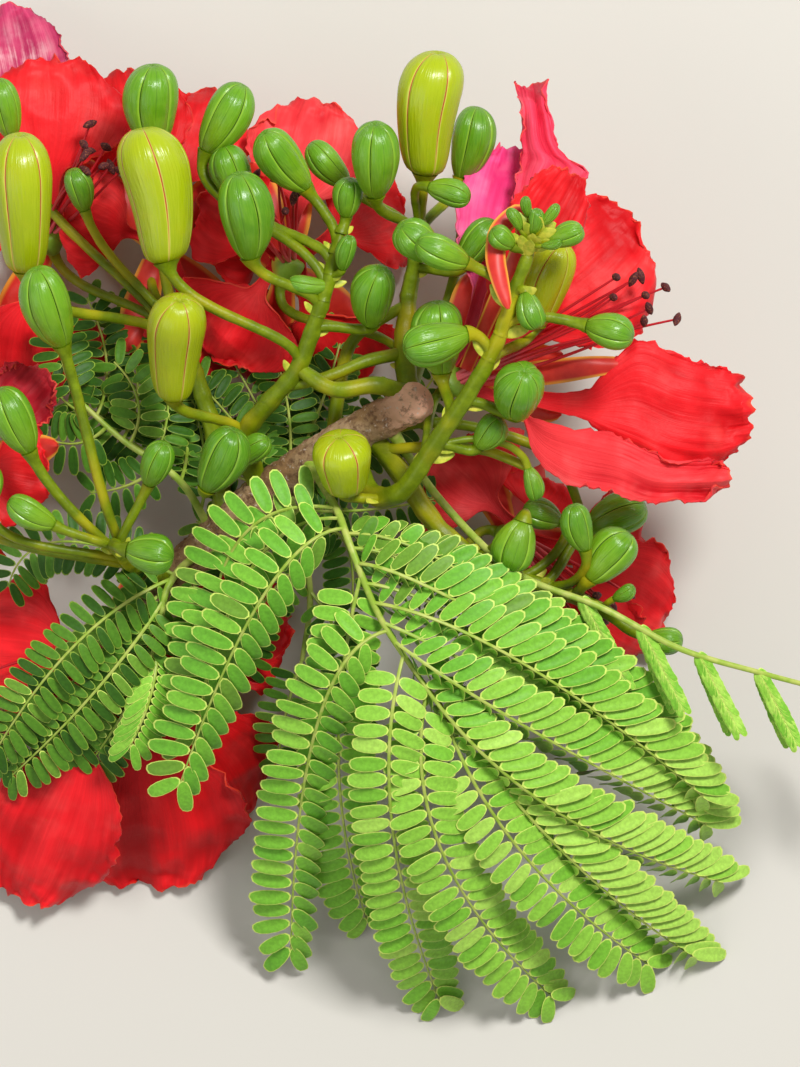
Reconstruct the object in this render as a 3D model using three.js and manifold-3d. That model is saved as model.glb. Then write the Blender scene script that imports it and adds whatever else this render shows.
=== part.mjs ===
// A flowering branch cut from a flame tree and laid down on its petals and leaf tips.
// Millimetres, +Z up. X runs to the right and Y up as one looks down on the branch.
// The woody twig carries stalks of buds, open flowers with crumpled petals, and twice-cut leaves.
import * as THREE from "three";
import { mergeVertices } from "three/addons/utils/BufferGeometryUtils.js";
import Module from "manifold-3d";

const wasm = await Module();
wasm.setup();

// Clearance between neighbouring solids, and how finely a stalk is stepped along its length.
const GAP = 0.3;
const STALK_STEP = 20;
const TURN_PER_STEP = 0.75;
const SMALLEST_DETAIL = 0.01;

// Radii of the woody twig and the green stalks.
const TWIG_RADIUS_CUT = 6.5;
const TWIG_RADIUS_TIP = 4.6;
const KNOB_RADIUS = 6.2;
const KNOB_SHARE = 0.4;
const KNOB_OUTLINE = [[0, 0], [0.6, 0], [1, 0.5], [0.6, 1], [0, 1]];
const STEM_RADIUS_FOOT = 2.7;
const STEM_RADIUS_TIP = 1.5;
const PEDICEL_RADIUS_FOOT = 1.25;
const PEDICEL_RADIUS_TIP = 1.5;
const PEDICEL_BOW = 0.5;
// A pedicel leaves its stem below the nearest point, by this share of its distance to the bud, but
// above the stem's lowest fifth.
const PEDICEL_LOWER = 0.45;
const PEDICEL_LOWEST = 0.2;
const STEM_SAMPLES = 60;
const MIDRIB_RADIUS_FOOT = 1.5;
const MIDRIB_RADIUS_TIP = 0.8;

// A bud this thick or thicker is a solid of its own; a thinner one is fused to its pedicel.
const OWN_BUD_RADIUS = 5;
const RIPE_BUD_RADIUS = 7.1;
const SMALL_BUD_SEAT = 0.6;
// Bud outline from foot to apex, as shares of the radius and of the length.
const BUD_OUTLINE = [[0, 0], [0.42, 0], [0.86, 0.28], [1, 0.58], [0.74, 0.88], [0, 1]];
const SMALL_BUD_OUTLINE = [[0, 0], [0.5, 0], [1, 0.55], [0.5, 0.95], [0, 1]];

// Flower parts. A petal's arch and the curve of its tip are shares of its length, and its ruffle is
// a share of its width.
const PETAL_THICKNESS = 1.0;
const PETAL_CLAW_HALF_WIDTH = 1.7;
const PETAL_CLAW_SHARE = 0.3;
const PETAL_ARCH = 0.1;
const PETAL_TIP_CURVE = 0.08;
const PETAL_RUFFLE = 0.06;
const PETAL_ROWS = 4;
const PETAL_COLUMNS = 2;
const SEPAL_LENGTH = 25;
const SEPAL_WIDTH = 10;
const SEPAL_LEAN = -0.1;
const SEPAL_THICKNESS = 1.2;
// A sepal or folded pinna rises to its tip and is hollow across, by this share of its size.
const LANCE_BEND = 0.12;
const LANCE_ROWS = 2;
const STAMEN_LENGTH = 46;
const STAMEN_BOW = 3;
const STAMEN_LEAN = 0.35;
const STAMEN_RADIUS = 0.7;
const PETAL_SEAT = 2.4;
const CUP_RADIUS = 4.2;
const CUP_LENGTH = 7;
const CUP_OUTLINE = [[0, 0], [0.4, 0], [1, 0.8], [0.8, 1], [0, 1]];

// Leaf blades: each pinna is a thin toothed blade with its outline cut to the rib between leaflets.
const BLADE_THICKNESS = 1.0;
const RIB_HALF_WIDTH = 0.8;
const LEAFLET_LENGTH = 9.5;
const LEAFLET_PITCH = 19;
const LEAFLET_SHARE_OF_PITCH = 0.74;
const LEAFLET_NARROWING = 0.9;
// The middle of a pair stands past the middle of its pitch, because the rib's foot is bare.
const LEAFLET_PLACE = 0.62;
const LEAFLET_FORWARD = 1.6;
const LEAFLET_DROOP = 0.02;

const vector = (p) => new THREE.Vector3(p[0], p[1], p[2]);
const UP = new THREE.Vector3(0, 0, 1);

// The woody twig, from its rounded knob down to the flat cut.
const TWIG_PATH = [
  [6, 33, 60], [-4, 28, 56], [-18, 20, 49], [-35, 8, 39],
  [-51, -7, 29], [-68, -23, 20], [-88, -39, 12], [-111, -55, 6.5],
].map(vector);

// Stems of the bud clusters. Each starts on the twig's axis.
const STEM_PATHS = {
  centre: [
    [-34, 10, 40], [-38, 23, 48], [-32, 32, 55], [-25, 40, 60], [-21, 50, 64], [-18, 59, 66], [-14, 74, 66],
  ],
  right: [[-13, 23, 50], [-7, 10, 58], [0, 10, 68], [8, 21, 76], [22, 43, 86], [29, 62, 91], [32, 70, 92]],
  left: [[-56, -11, 27], [-61, -10, 38], [-66, -7, 50], [-70, -2, 62]],
  low: [[-8, 26, 54], [0, 15, 50], [10, 1, 48], [24, -9, 48], [39, -14, 48], [50, -19, 48], [60, -26, 47]],
  back: [[3, 32, 58], [1, 45, 52], [2, 57, 50], [4, 69, 52], [5, 78, 56]],
  outer: [[-43, 1, 34], [-45, 20, 34], [-49, 36, 36], [-54, 48, 38], [-60, 57, 40]],
};

// Buds of each stem: foot, apex and radius.
const BUDS = {
  centre: [
    [[-55, 66, 70], [-61, 98, 74], 9],
    [[-47, 93, 58], [-38, 109, 62], 5.8],
    [[-38, 81, 60], [-43, 94, 62], 5.2],
    [[-36, 67, 72], [-39, 87, 80], 6.8],
    [[-23, 84, 64], [-33, 97, 72], 5.5],
    [[-13, 77, 66], [-12, 86, 70], 3.8],
    [[-14, 64, 70], [-12, 72, 74], 2.5],
    [[-17, 60, 66], [-27, 61, 68], 2.5],
    [[-7, 51, 62], [-5, 64, 74], 5.5],
    [[-56, 31, 62], [-54, 58, 80], 7.2],
    [[-47, 11, 60], [-40, 25, 68], 6],
    [[-40, 17, 52], [-32, 23, 56], 3.5],
  ],
  right: [
    [[16, 65, 92], [4, 70, 96], 4.2], [[27, 69, 94], [22, 73, 96], 3], [[32, 72, 96], [33, 78, 98], 2],
    [[36, 70, 95], [44, 73, 97], 3.2], [[16, 48, 88], [1, 44, 92], 5.5], [[30, 58, 92], [33, 49, 92], 3.5],
    [[45, 50, 90], [56, 47, 93], 4.5], [[28, 29, 80], [30, 39, 95], 6.2], [[33, 51, 66], [39, 70, 78], 6.2],
    [[19, 21, 74], [24, 28, 78], 4], [[31, 16, 70], [33, 8, 68], 2.5], [[10, 39, 70], [9, 56, 76], 6.5],
    [[-12, 12, 67], [-14, 25, 76], 7.2],
  ],
  left: [
    [[-82, 46, 66], [-88, 64, 76], 6.2],
    [[-90, 20, 66], [-97, 35, 72], 5.4],
    [[-61, 12, 64], [-57, 22, 70], 4],
    [[-84, 2, 64], [-95, 8, 66], 3.8],
    [[-100, 7, 62], [-100, 17, 66], 3.6],
    [[-66, -4, 70], [-55, -6, 72], 5.2],
  ],
  low: [
    [[30, 3, 64], [26, -9, 62], 5.5], [[39, 3, 46], [30, 6, 48], 4], [[45, -4, 62], [42, 7, 66], 4],
    [[46, -11, 56], [56, 0, 58], 5.8], [[46, 1, 44], [60, 7, 46], 5.5], [[52, -16, 56], [57, -13, 58], 2],
    [[45, -23, 44], [52, -38, 36], 4], [[60, -26, 46], [69, -26, 48], 3.5],
  ],
  back: [
    [[-13, 85, 54], [-22, 95, 56], 4], [[-6, 82, 70], [-6, 99, 80], 6], [[5, 86, 62], [8, 118, 70], 8.2],
    [[15, 87, 46], [19, 104, 50], 5.5], [[7, 84, 68], [17, 81, 70], 3.5], [[8, 67, 80], [0, 74, 86], 5],
    [[15, 65, 56], [23, 76, 60], 4.4],
  ],
  outer: [
    [[-93, 62, 62], [-94, 98, 74], 7.5],
    [[-95, 97, 40], [-98, 111, 46], 4],
    [[-60, 95, 52], [-60, 114, 58], 7],
    [[-77, 79, 44], [-80, 89, 48], 3.5],
  ],
};

// Flowers: the stem or twig that carries each, its cup, and the tip of each petal with its width.
const FLOWERS = {
  right: { stem: "right", cup: [15, 38, 58], sepals: true, petals: [
    [32, 112, 44, 24], [28, 96, 40, 22], [58, 78, 58, 44], [87, 31, 60, 44], [81, 14, 68, 24]] },
  top_left: { stem: "outer", cup: [-87, 75, 26], petals: [
    [-95, 134, 10, 36], [-85, 118, 26, 42], [-71, 111, 14, 34], [-116, 69, 14, 38], [-90, 32, 14, 36]] },
  top: { stem: "outer", cup: [-59, 73, 24], petals: [
    [-70, 115, 14, 32], [-49, 111, 12, 32], [-33, 76, 20, 32], [-43, 38, 20, 38], [-83, 79, 34, 26]] },
  middle: { stem: "back", cup: [-27, 68, 30], petals: [
    [-19, 108, 20, 32], [-46, 42, 26, 34], [-17, 33, 12, 40], [0, 86, 3, 34], [-49, 83, 40, 26]] },
  lower_left: { stem: "left", cup: [-67, -30, 30], petals: [
    [-42, -73, 1, 42], [-60, -89, 1, 48], [-94, -92, 1, 36], [-106, -26, 18, 36], [-27, -18, 12, 36]] },
  left: { stem: "left", cup: [-109, 19, 44], petals: [
    [-84, 38, 46, 26], [-84, 13, 48, 26], [-124, 47, 20, 36], [-132, 15, 12, 36], [-117, -7, 10, 36]] },
  low_right: { stem: "low", cup: [30, -2, 28], petals: [
    [65, -26, 6, 38], [46, -38, 1, 40], [62, -7, 8, 38], [13, 10, 20, 34], [39, 13, 20, 36]] },
};

// Leaves: midrib path, and each pinna's foot, middle and tip.
const LEAVES = {
  main: {
    midrib: [
      [-22, 17, 50], [-19, 12, 58], [-15, 5, 67], [-12, -3, 72], [-5, -20, 70], [4, -34, 64], [10, -42, 60],
    ],
    pinnae: [
      [[-16, 6, 66], [-41, 3, 64], [-45, -41, 40]], [[-14, 1, 70], [-32, -7, 72], [-54, -64, 42]],
      [[-4, -24, 69], [-20, -46, 62], [-27, -104, 8]], [[-7, -16, 71], [-13, -63, 50], [-8, -96, 4]],
      [[0, -30, 66], [-2, -70, 56], [10, -116, 1]], [[6, -38, 62], [10, -77, 52], [38, -115, 1]],
      [[10, -42, 60], [29, -77, 47], [62, -107, 4]], [[7, -38, 62], [39, -77, 42], [73, -105, 1]],
      [[3, -32, 65], [34, -65, 54], [79, -86, 11]], [[-1, -26, 68], [29, -46, 63], [76, -72, 22]],
      [[-7, -17, 71], [29, -31, 69], [75, -65, 34]], [[-10, -7, 72], [17, -14, 74], [63, -46, 46]],
      [[-13, 0, 71], [12, 3, 71], [39, -26, 60]],
    ],
  },
  left: {
    midrib: [[-49, -5, 30], [-54, -9, 44], [-57, -14, 48], [-59, -26, 46], [-61, -38, 40]],
    pinnae: [
      [[-56, -11, 46], [-78, -26, 51], [-99, -53, 33]], [[-57, -16, 48], [-74, -38, 46], [-96, -60, 26]],
      [[-59, -22, 47], [-66, -41, 41], [-80, -61, 19]], [[-60, -29, 45], [-61, -40, 47], [-66, -52, 42]],
      [[-56, -10, 45], [-83, -2, 46], [-96, -13, 34]], [[-55, -10, 44], [-49, -16, 42], [-48, -36, 34]],
    ],
  },
  back: {
    midrib: [[-28, 13, 44], [-24, -2, 44], [-22, -16, 38], [-24, -31, 30]],
    pinnae: [
      [[-24, -8, 42], [-34, -18, 36], [-38, -34, 24]], [[-23, -14, 39], [-14, -28, 38], [-10, -46, 28]],
      [[-24, -31, 30], [-28, -44, 24], [-30, -56, 14]],
    ],
  },
  small: {
    midrib: [[-45, -2, 32], [-54, 13, 40], [-68, 23, 42], [-78, 32, 42]],
    pinnae: [
      [[-59, 17, 41], [-66, 12, 40], [-76, 10, 34]], [[-66, 22, 42], [-64, 32, 42], [-70, 42, 38]],
      [[-72, 26, 42], [-79, 22, 40], [-88, 24, 34]], [[-78, 32, 42], [-82, 40, 40], [-84, 50, 34]],
    ],
  },
};

// The young leaf's pinnae are still folded and hang in pairs from its long midrib.
const YOUNG_MIDRIB = [
  [-4, 28, 57], [10, 8, 44], [29, -10, 56], [49, -18, 60], [68, -28, 58], [88, -34, 52], [107, -39, 44],
].map(vector);
const YOUNG_PAIRS = 5;
const YOUNG_FIRST = 0.52;
const YOUNG_STEP = 0.11;
const YOUNG_DIRECTION = new THREE.Vector3(9, -19, -8).normalize();
const YOUNG_PINNA_LENGTH = 24;
const YOUNG_PINNA_WIDTH = 6;

const BARK = new THREE.MeshStandardMaterial({ color: "#8a6e5a", roughness: 0.9, metalness: 0 });
const STALK = new THREE.MeshStandardMaterial({ color: "#7f9a24", roughness: 0.55, metalness: 0 });
const GREEN_BUD = new THREE.MeshStandardMaterial({ color: "#5c9420", roughness: 0.4, metalness: 0 });
const RIPE_BUD = new THREE.MeshStandardMaterial({ color: "#a9bd1c", roughness: 0.4, metalness: 0 });
const PETAL = new THREE.MeshStandardMaterial({ color: "#d41a22", roughness: 0.6, metalness: 0 });
const LEAF = new THREE.MeshStandardMaterial({ color: "#5cb52c", roughness: 0.6, metalness: 0 });

// Turns a closed geometry into a solid: only positions are kept and shared corners are merged.
function solid(geometry) {
  geometry.deleteAttribute("normal");
  geometry.deleteAttribute("uv");
  const merged = mergeVertices(geometry, 1e-4);
  return new wasm.Manifold(new wasm.Mesh({
    numProp: 3,
    vertProperties: new Float32Array(merged.attributes.position.array),
    triVerts: new Uint32Array(merged.index.array),
  }));
}

// A smooth curve through a path's points.
function smooth(path) {
  return new THREE.CatmullRomCurve3(path, false, "centripetal");
}

// How far a curve turns from its foot to its tip, in radians.
function turning(curve) {
  const tangents = Array.from({ length: 13 }, (_, i) => curve.getTangentAt(i / 12));
  return tangents.slice(1).reduce((sum, tangent, i) => sum + tangent.angleTo(tangents[i]), 0);
}

// How many rings a limb has along a curve: more on a long one and where it bends.
function ringCount(curve) {
  return Math.max(2, Math.round(curve.getLength() / STALK_STEP), Math.ceil(turning(curve) / TURN_PER_STEP));
}

// The point nearest to a place on the straight stretches between a limb's rings.
function seatOn(curve, place) {
  const rings = curve.getSpacedPoints(ringCount(curve));
  const seats = rings.slice(1).map((ring, i) => (
    new THREE.Line3(rings[i], ring).closestPointToPoint(place, true, new THREE.Vector3())
  ));
  return seats.reduce((best, seat) => (seat.distanceTo(place) < best.distanceTo(place) ? seat : best));
}

// A tapering limb: a cylinder bent along a smooth path. Growing it swells its sides and its ends.
function limb(curve, radiusFoot, radiusTip, sides, grow = 0) {
  const steps = ringCount(curve);
  const frames = curve.computeFrenetFrames(steps);
  const geometry = new THREE.CylinderGeometry(1, 1, 1, sides, steps);
  const position = geometry.attributes.position;
  const corner = new THREE.Vector3();
  for (let i = 0; i < position.count; i += 1) {
    corner.fromBufferAttribute(position, i);
    const row = Math.round((corner.y + 0.5) * steps);
    const share = row / steps;
    const radius = THREE.MathUtils.lerp(radiusFoot, radiusTip, share) + grow;
    const endShift = row === 0 ? -grow : row === steps ? grow : 0;
    const place = curve.getPointAt(share)
      .addScaledVector(frames.tangents[row], endShift)
      .addScaledVector(frames.normals[row], corner.x * radius)
      .addScaledVector(frames.binormals[row], -corner.z * radius);
    position.setXYZ(i, place.x, place.y, place.z);
  }
  return solid(geometry);
}

// A turned body on an axis from foot to apex, with an outline in shares of radius and length.
function turned(outline, foot, apex, radius, sides, grow = 0) {
  const axis = apex.clone().sub(foot);
  const length = axis.length();
  const points = outline.map(([across, along]) => new THREE.Vector2(
    across === 0 ? 0 : across * radius + grow,
    along * length + (along - 0.5) * 2 * grow,
  ));
  const geometry = new THREE.LatheGeometry(points, sides);
  const upright = new THREE.Vector3(0, 1, 0);
  geometry.applyQuaternion(new THREE.Quaternion().setFromUnitVectors(upright, axis.normalize()));
  geometry.translate(foot.x, foot.y, foot.z);
  return solid(geometry);
}

// A thin closed sheet: a surface of triangles given a thickness, with walls along its open edges.
// Its middle is held half a thickness above the ground, so a sheet that comes down lies flat on it.
function sheet(points, triangles, thickness) {
  const half = thickness / 2;
  for (const point of points) {
    point.z = Math.max(point.z, half);
  }
  const normals = points.map(() => new THREE.Vector3());
  const openEdges = new Map();
  for (const [a, b, c] of triangles) {
    const facing = points[b].clone().sub(points[a]).cross(points[c].clone().sub(points[a]));
    for (const [from, to] of [[a, b], [b, c], [c, a]]) {
      normals[from].add(facing);
      if (!openEdges.delete(`${to},${from}`)) {
        openEdges.set(`${from},${to}`, [from, to]);
      }
    }
  }
  const above = points.map((point, i) => point.clone().addScaledVector(normals[i].normalize(), half));
  const below = points.map((point, i) => point.clone().addScaledVector(normals[i], -half));
  const count = points.length;
  const index = [];
  for (const [a, b, c] of triangles) {
    index.push(a, b, c, count + a, count + c, count + b);
  }
  for (const [from, to] of openEdges.values()) {
    index.push(from, count + from, to, to, count + from, count + to);
  }
  const geometry = new THREE.BufferGeometry().setFromPoints([...above, ...below]);
  geometry.setIndex(index);
  return solid(geometry);
}

// The triangles of a grid of rows and columns of points.
function gridTriangles(rows, columns) {
  const triangles = [];
  for (let row = 0; row < rows; row += 1) {
    for (let column = 0; column < columns; column += 1) {
      const a = row * (columns + 1) + column;
      const b = a + columns + 1;
      triangles.push([a, a + 1, b], [a + 1, b + 1, b]);
    }
  }
  return triangles;
}

// A clawed petal from the cup to its tip: a narrow claw, then a broad blade with a ruffled margin.
function petal(foot, tip, width, seed, grow) {
  const span = tip.clone().sub(foot);
  const length = span.length();
  const along = span.clone().normalize();
  const across = new THREE.Vector3().crossVectors(UP, along).normalize();
  const out = new THREE.Vector3().crossVectors(along, across);
  const points = [];
  for (let row = 0; row <= PETAL_ROWS; row += 1) {
    const share = row / PETAL_ROWS;
    const blade = Math.max(0, (share - PETAL_CLAW_SHARE) / (1 - PETAL_CLAW_SHARE));
    const swell = Math.sin(Math.PI * 0.86 * blade ** 1.2);
    const halfWidth = PETAL_CLAW_HALF_WIDTH + (width / 2 - PETAL_CLAW_HALF_WIDTH) * swell;
    for (let column = 0; column <= PETAL_COLUMNS; column += 1) {
      const side = (column / PETAL_COLUMNS) * 2 - 1;
      const wave = Math.sin(5.1 * share + 2.3 * side * side + seed * 1.7);
      const ruffle = wave * PETAL_RUFFLE * width * side * side * swell;
      const arch = Math.sin(Math.PI * share) * length * PETAL_ARCH;
      const curve = PETAL_TIP_CURVE * length * side * side * blade;
      const reach = share * (length + 2 * grow) - grow - curve;
      points.push(foot.clone()
        .addScaledVector(along, reach)
        .addScaledVector(across, side * (halfWidth + grow))
        .addScaledVector(out, arch + ruffle));
    }
  }
  return sheet(points, gridTriangles(PETAL_ROWS, PETAL_COLUMNS), PETAL_THICKNESS + 2 * grow);
}

// A pointed blade, broadest below its middle: a sepal, or a pinna of the young leaf, still folded.
function lance(foot, direction, length, width, thickness, grow) {
  const across = new THREE.Vector3().crossVectors(UP, direction).normalize();
  const points = [];
  for (let row = 0; row <= LANCE_ROWS; row += 1) {
    const share = row / LANCE_ROWS;
    const halfWidth = (width / 2) * (0.5 + Math.sin(Math.PI * share) * 0.5 - 0.3 * share);
    for (const side of [-1, 0, 1]) {
      points.push(foot.clone()
        .addScaledVector(direction, share * (length + 2 * grow) - grow)
        .addScaledVector(across, side * (halfWidth + grow))
        .addScaledVector(UP, LANCE_BEND * (length * share * share - width * side * side)));
    }
  }
  return sheet(points, gridTriangles(LANCE_ROWS, 2), thickness + 2 * grow);
}

// A pinna: a rib with pairs of leaflets cut to it, along a bow through its foot, middle and tip.
function pinna(foot, middle, tip, grow) {
  const bend = middle.clone().multiplyScalar(2).addScaledVector(foot, -0.5).addScaledVector(tip, -0.5);
  const bow = new THREE.QuadraticBezierCurve3(foot, bend, tip);
  const length = bow.getLength();
  const pairs = Math.max(2, Math.round(length / LEAFLET_PITCH));
  const pitch = length / pairs;
  const points = [];
  const triangles = [];
  const station = (place, halfWidth) => {
    const share = THREE.MathUtils.clamp(place / length, 0, 1);
    const along = bow.getTangentAt(share);
    const across = new THREE.Vector3().crossVectors(UP, along).normalize();
    const centre = bow.getPointAt(share).addScaledVector(along, place - share * length);
    for (const side of [halfWidth, -halfWidth]) {
      points.push(centre.clone().addScaledVector(across, side));
    }
    return { centre, along, across };
  };
  station(-grow, RIB_HALF_WIDTH + grow);
  for (let pair = 0; pair < pairs; pair += 1) {
    const middlePlace = (pair + LEAFLET_PLACE) * pitch;
    const halfLeaflet = (pitch * LEAFLET_SHARE_OF_PITCH) / 2 + grow;
    const previous = pair === 0 ? 0 : points.length - 6;
    const root = points.length;
    const near = station(middlePlace - halfLeaflet, RIB_HALF_WIDTH + grow);
    const far = station(middlePlace + halfLeaflet * LEAFLET_NARROWING, RIB_HALF_WIDTH + grow);
    const share = (pair + 0.5) / pairs;
    const reach = LEAFLET_LENGTH * Math.sin(Math.PI * (0.16 + 0.7 * share)) ** 0.5 + grow;
    for (const row of [previous, root]) {
      const next = row === previous ? root : root + 2;
      triangles.push([row, next, row + 1], [row + 1, next, next + 1]);
    }
    for (const side of [1, -1]) {
      const outer = points.length;
      for (const rib of [near, far]) {
        points.push(rib.centre.clone()
          .addScaledVector(rib.across, side * reach)
          .addScaledVector(rib.along, LEAFLET_FORWARD)
          .addScaledVector(UP, -LEAFLET_DROOP * reach));
      }
      const inner = side === 1 ? root : root + 1;
      const corners = [inner, outer, outer + 1, inner + 2];
      if (side === -1) {
        corners.reverse();
      }
      triangles.push([corners[0], corners[1], corners[2]], [corners[0], corners[2], corners[3]]);
    }
  }
  return sheet(points, triangles, BLADE_THICKNESS + 2 * grow);
}

// The place on a stem where a pedicel leaves it: level with the nearest point, then a little lower.
function leavingPoint(path, target) {
  const curve = smooth(path);
  const samples = curve.getSpacedPoints(STEM_SAMPLES);
  const distances = samples.map((sample) => sample.distanceTo(target));
  const nearest = distances.indexOf(Math.min(...distances));
  const lower = Math.round((PEDICEL_LOWER * distances[nearest] * STEM_SAMPLES) / curve.getLength());
  const place = THREE.MathUtils.clamp((nearest - lower) / STEM_SAMPLES, PEDICEL_LOWEST, 1);
  return { point: seatOn(curve, curve.getPointAt(place)), along: curve.getTangentAt(place) };
}

// A pedicel: it leaves the stem along it, curves out and arrives along the axis of what it carries.
function pedicel(path, foot, axis, grow) {
  const { point, along } = leavingPoint(path, foot);
  const handle = PEDICEL_BOW * point.distanceTo(foot);
  const route = new THREE.CubicBezierCurve3(
    point,
    point.clone().addScaledVector(along, handle),
    foot.clone().addScaledVector(axis, -handle),
    foot,
  );
  return limb(route, PEDICEL_RADIUS_FOOT, PEDICEL_RADIUS_TIP, 3, grow);
}

// One stem with its pedicels and its small buds, fused.
function stalkCluster(name, grow) {
  const path = STEM_PATHS[name].map(vector);
  const pieces = [limb(smooth(path), STEM_RADIUS_FOOT, STEM_RADIUS_TIP, 5, grow)];
  for (const [footPlace, apexPlace, radius] of BUDS[name]) {
    const foot = vector(footPlace);
    const apex = vector(apexPlace);
    const axis = apex.clone().sub(foot).normalize();
    pieces.push(pedicel(path, foot, axis, grow));
    if (radius < OWN_BUD_RADIUS) {
      foot.addScaledVector(axis, -SMALL_BUD_SEAT);
      pieces.push(turned(SMALL_BUD_OUTLINE, foot, apex, radius, 5, grow));
    }
  }
  return wasm.Manifold.union(pieces);
}

// One flower: pedicel, cup, petals, the sepals between them and a brush of stamens, fused.
function flower({ stem, cup, petals, sepals }, grow) {
  const centre = vector(cup);
  const tips = petals.map(vector);
  const middle = tips.reduce((sum, tip) => sum.add(tip), new THREE.Vector3()).divideScalar(tips.length);
  const axis = middle.sub(centre).setLength(1).lerp(UP, 0.5).normalize();
  const foot = centre.clone().addScaledVector(axis, -CUP_LENGTH);
  const pieces = [
    turned(CUP_OUTLINE, foot, centre, CUP_RADIUS, 6, grow),
    pedicel(STEM_PATHS[stem].map(vector), foot.clone().addScaledVector(axis, 0.5), axis, grow),
  ];
  tips.forEach((tip, i) => {
    const seat = tip.clone().sub(centre).projectOnPlane(axis).setLength(PETAL_SEAT).add(centre);
    const next = tips[(i + 1) % tips.length];
    const between = tip.clone().lerp(next, 0.5).sub(centre).normalize();
    between.addScaledVector(axis, SEPAL_LEAN).normalize();
    pieces.push(petal(seat.addScaledVector(axis, -PETAL_SEAT / 2), tip, petals[i][3], i, grow));
    if (sepals) {
      const rim = between.clone().multiplyScalar(PETAL_SEAT).add(foot).addScaledVector(axis, CUP_LENGTH / 2);
      pieces.push(lance(rim, between, SEPAL_LENGTH, SEPAL_WIDTH, SEPAL_THICKNESS, grow));
    }
  });
  for (const tip of tips.filter((_, i) => i % 2 === 0)) {
    const lean = tip.clone().sub(centre).setLength(STAMEN_LEAN).add(axis).normalize();
    const end = centre.clone().addScaledVector(lean, STAMEN_LENGTH);
    const bow = centre.clone().lerp(end, 0.5).addScaledVector(UP, STAMEN_BOW);
    const start = lean.clone().projectOnPlane(axis).multiplyScalar(PETAL_SEAT);
    start.add(centre).addScaledVector(axis, -1);
    const filament = new THREE.QuadraticBezierCurve3(start, bow, end);
    pieces.push(limb(filament, STAMEN_RADIUS, STAMEN_RADIUS, 3, grow));
  }
  return wasm.Manifold.union(pieces);
}

// One leaf: its midrib with all its pinnae fused on.
function leaf({ midrib, pinnae }, grow) {
  const curve = smooth(midrib.map(vector));
  const pieces = [limb(curve, MIDRIB_RADIUS_FOOT, MIDRIB_RADIUS_TIP, 4, grow)];
  for (const [foot, middle, tip] of pinnae) {
    pieces.push(pinna(seatOn(curve, vector(foot)), vector(middle), vector(tip), grow));
  }
  return wasm.Manifold.union(pieces);
}

// The young leaf: pairs of folded pinnae hang at even steps along its midrib.
function youngLeaf(grow) {
  const curve = smooth(YOUNG_MIDRIB);
  const pieces = [limb(curve, MIDRIB_RADIUS_FOOT, MIDRIB_RADIUS_TIP, 4, grow)];
  for (let pair = 0; pair < YOUNG_PAIRS; pair += 1) {
    const foot = seatOn(curve, curve.getPointAt(YOUNG_FIRST + pair * YOUNG_STEP));
    pieces.push(lance(foot, YOUNG_DIRECTION, YOUNG_PINNA_LENGTH, YOUNG_PINNA_WIDTH, BLADE_THICKNESS, grow));
  }
  return wasm.Manifold.union(pieces);
}

// The woody twig. Its foot is cut square to its length, so the end is one flat face.
function twig(grow) {
  const knobFoot = TWIG_PATH[0].clone().lerp(TWIG_PATH[1], KNOB_SHARE);
  const knobTop = TWIG_PATH[0].clone().lerp(TWIG_PATH[1], -KNOB_SHARE);
  const bulge = turned(KNOB_OUTLINE, knobFoot, knobTop, KNOB_RADIUS, 8, grow);
  return limb(smooth(TWIG_PATH), TWIG_RADIUS_TIP, TWIG_RADIUS_CUT, 8, grow).add(bulge);
}

// Every sub-part in the order in which it takes its room: a later one is cut clear of the earlier.
const subParts = [["twig", BARK, twig]];
for (const name of Object.keys(STEM_PATHS)) {
  subParts.push([`stalks_${name}`, STALK, (grow) => stalkCluster(name, grow)]);
}
for (const [name, buds] of Object.entries(BUDS)) {
  buds.filter(([, , radius]) => radius >= OWN_BUD_RADIUS).forEach(([footPlace, apexPlace, radius], i) => {
    const foot = vector(footPlace);
    const apex = vector(apexPlace);
    const seat = foot.clone().addScaledVector(apex.clone().sub(foot).normalize(), GAP);
    const colour = radius >= RIPE_BUD_RADIUS ? RIPE_BUD : GREEN_BUD;
    subParts.push([
      `bud_${name}_${i + 1}`, colour, (grow) => turned(BUD_OUTLINE, seat, apex, radius, 6, grow),
    ]);
  });
}
for (const [name, plan] of Object.entries(LEAVES)) {
  subParts.push([`leaf_${name}`, LEAF, (grow) => leaf(plan, grow)]);
}
subParts.push(["leaf_young", LEAF, youngLeaf]);
for (const [name, plan] of Object.entries(FLOWERS)) {
  subParts.push([`flower_${name}`, PETAL, (grow) => flower(plan, grow)]);
}

const branch = new THREE.Group();
let taken = null;
for (const [name, material, build] of subParts) {
  const whole = build(0);
  const cleared = taken ? whole.subtract(taken) : whole;
  const pieces = cleared.simplify(SMALLEST_DETAIL).decompose();
  const kept = pieces.reduce((largest, piece) => (piece.volume() > largest.volume() ? piece : largest));
  const swollen = build(GAP);
  taken = taken ? taken.add(swollen) : swollen;
  const { vertProperties, triVerts } = kept.getMesh();
  const geometry = new THREE.BufferGeometry();
  geometry.setAttribute("position", new THREE.BufferAttribute(new Float32Array(vertProperties), 3));
  geometry.setIndex(new THREE.BufferAttribute(new Uint32Array(triVerts), 1));
  geometry.computeVertexNormals();
  const mesh = new THREE.Mesh(geometry, material);
  mesh.name = name;
  branch.add(mesh);
}

// The origin is under the middle of the whole branch, on the ground it lies on.
const extent = new THREE.Box3().setFromObject(branch);
const middleOfExtent = extent.getCenter(new THREE.Vector3());
branch.position.set(-middleOfExtent.x, -middleOfExtent.y, -extent.min.z);

export default branch;
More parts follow.
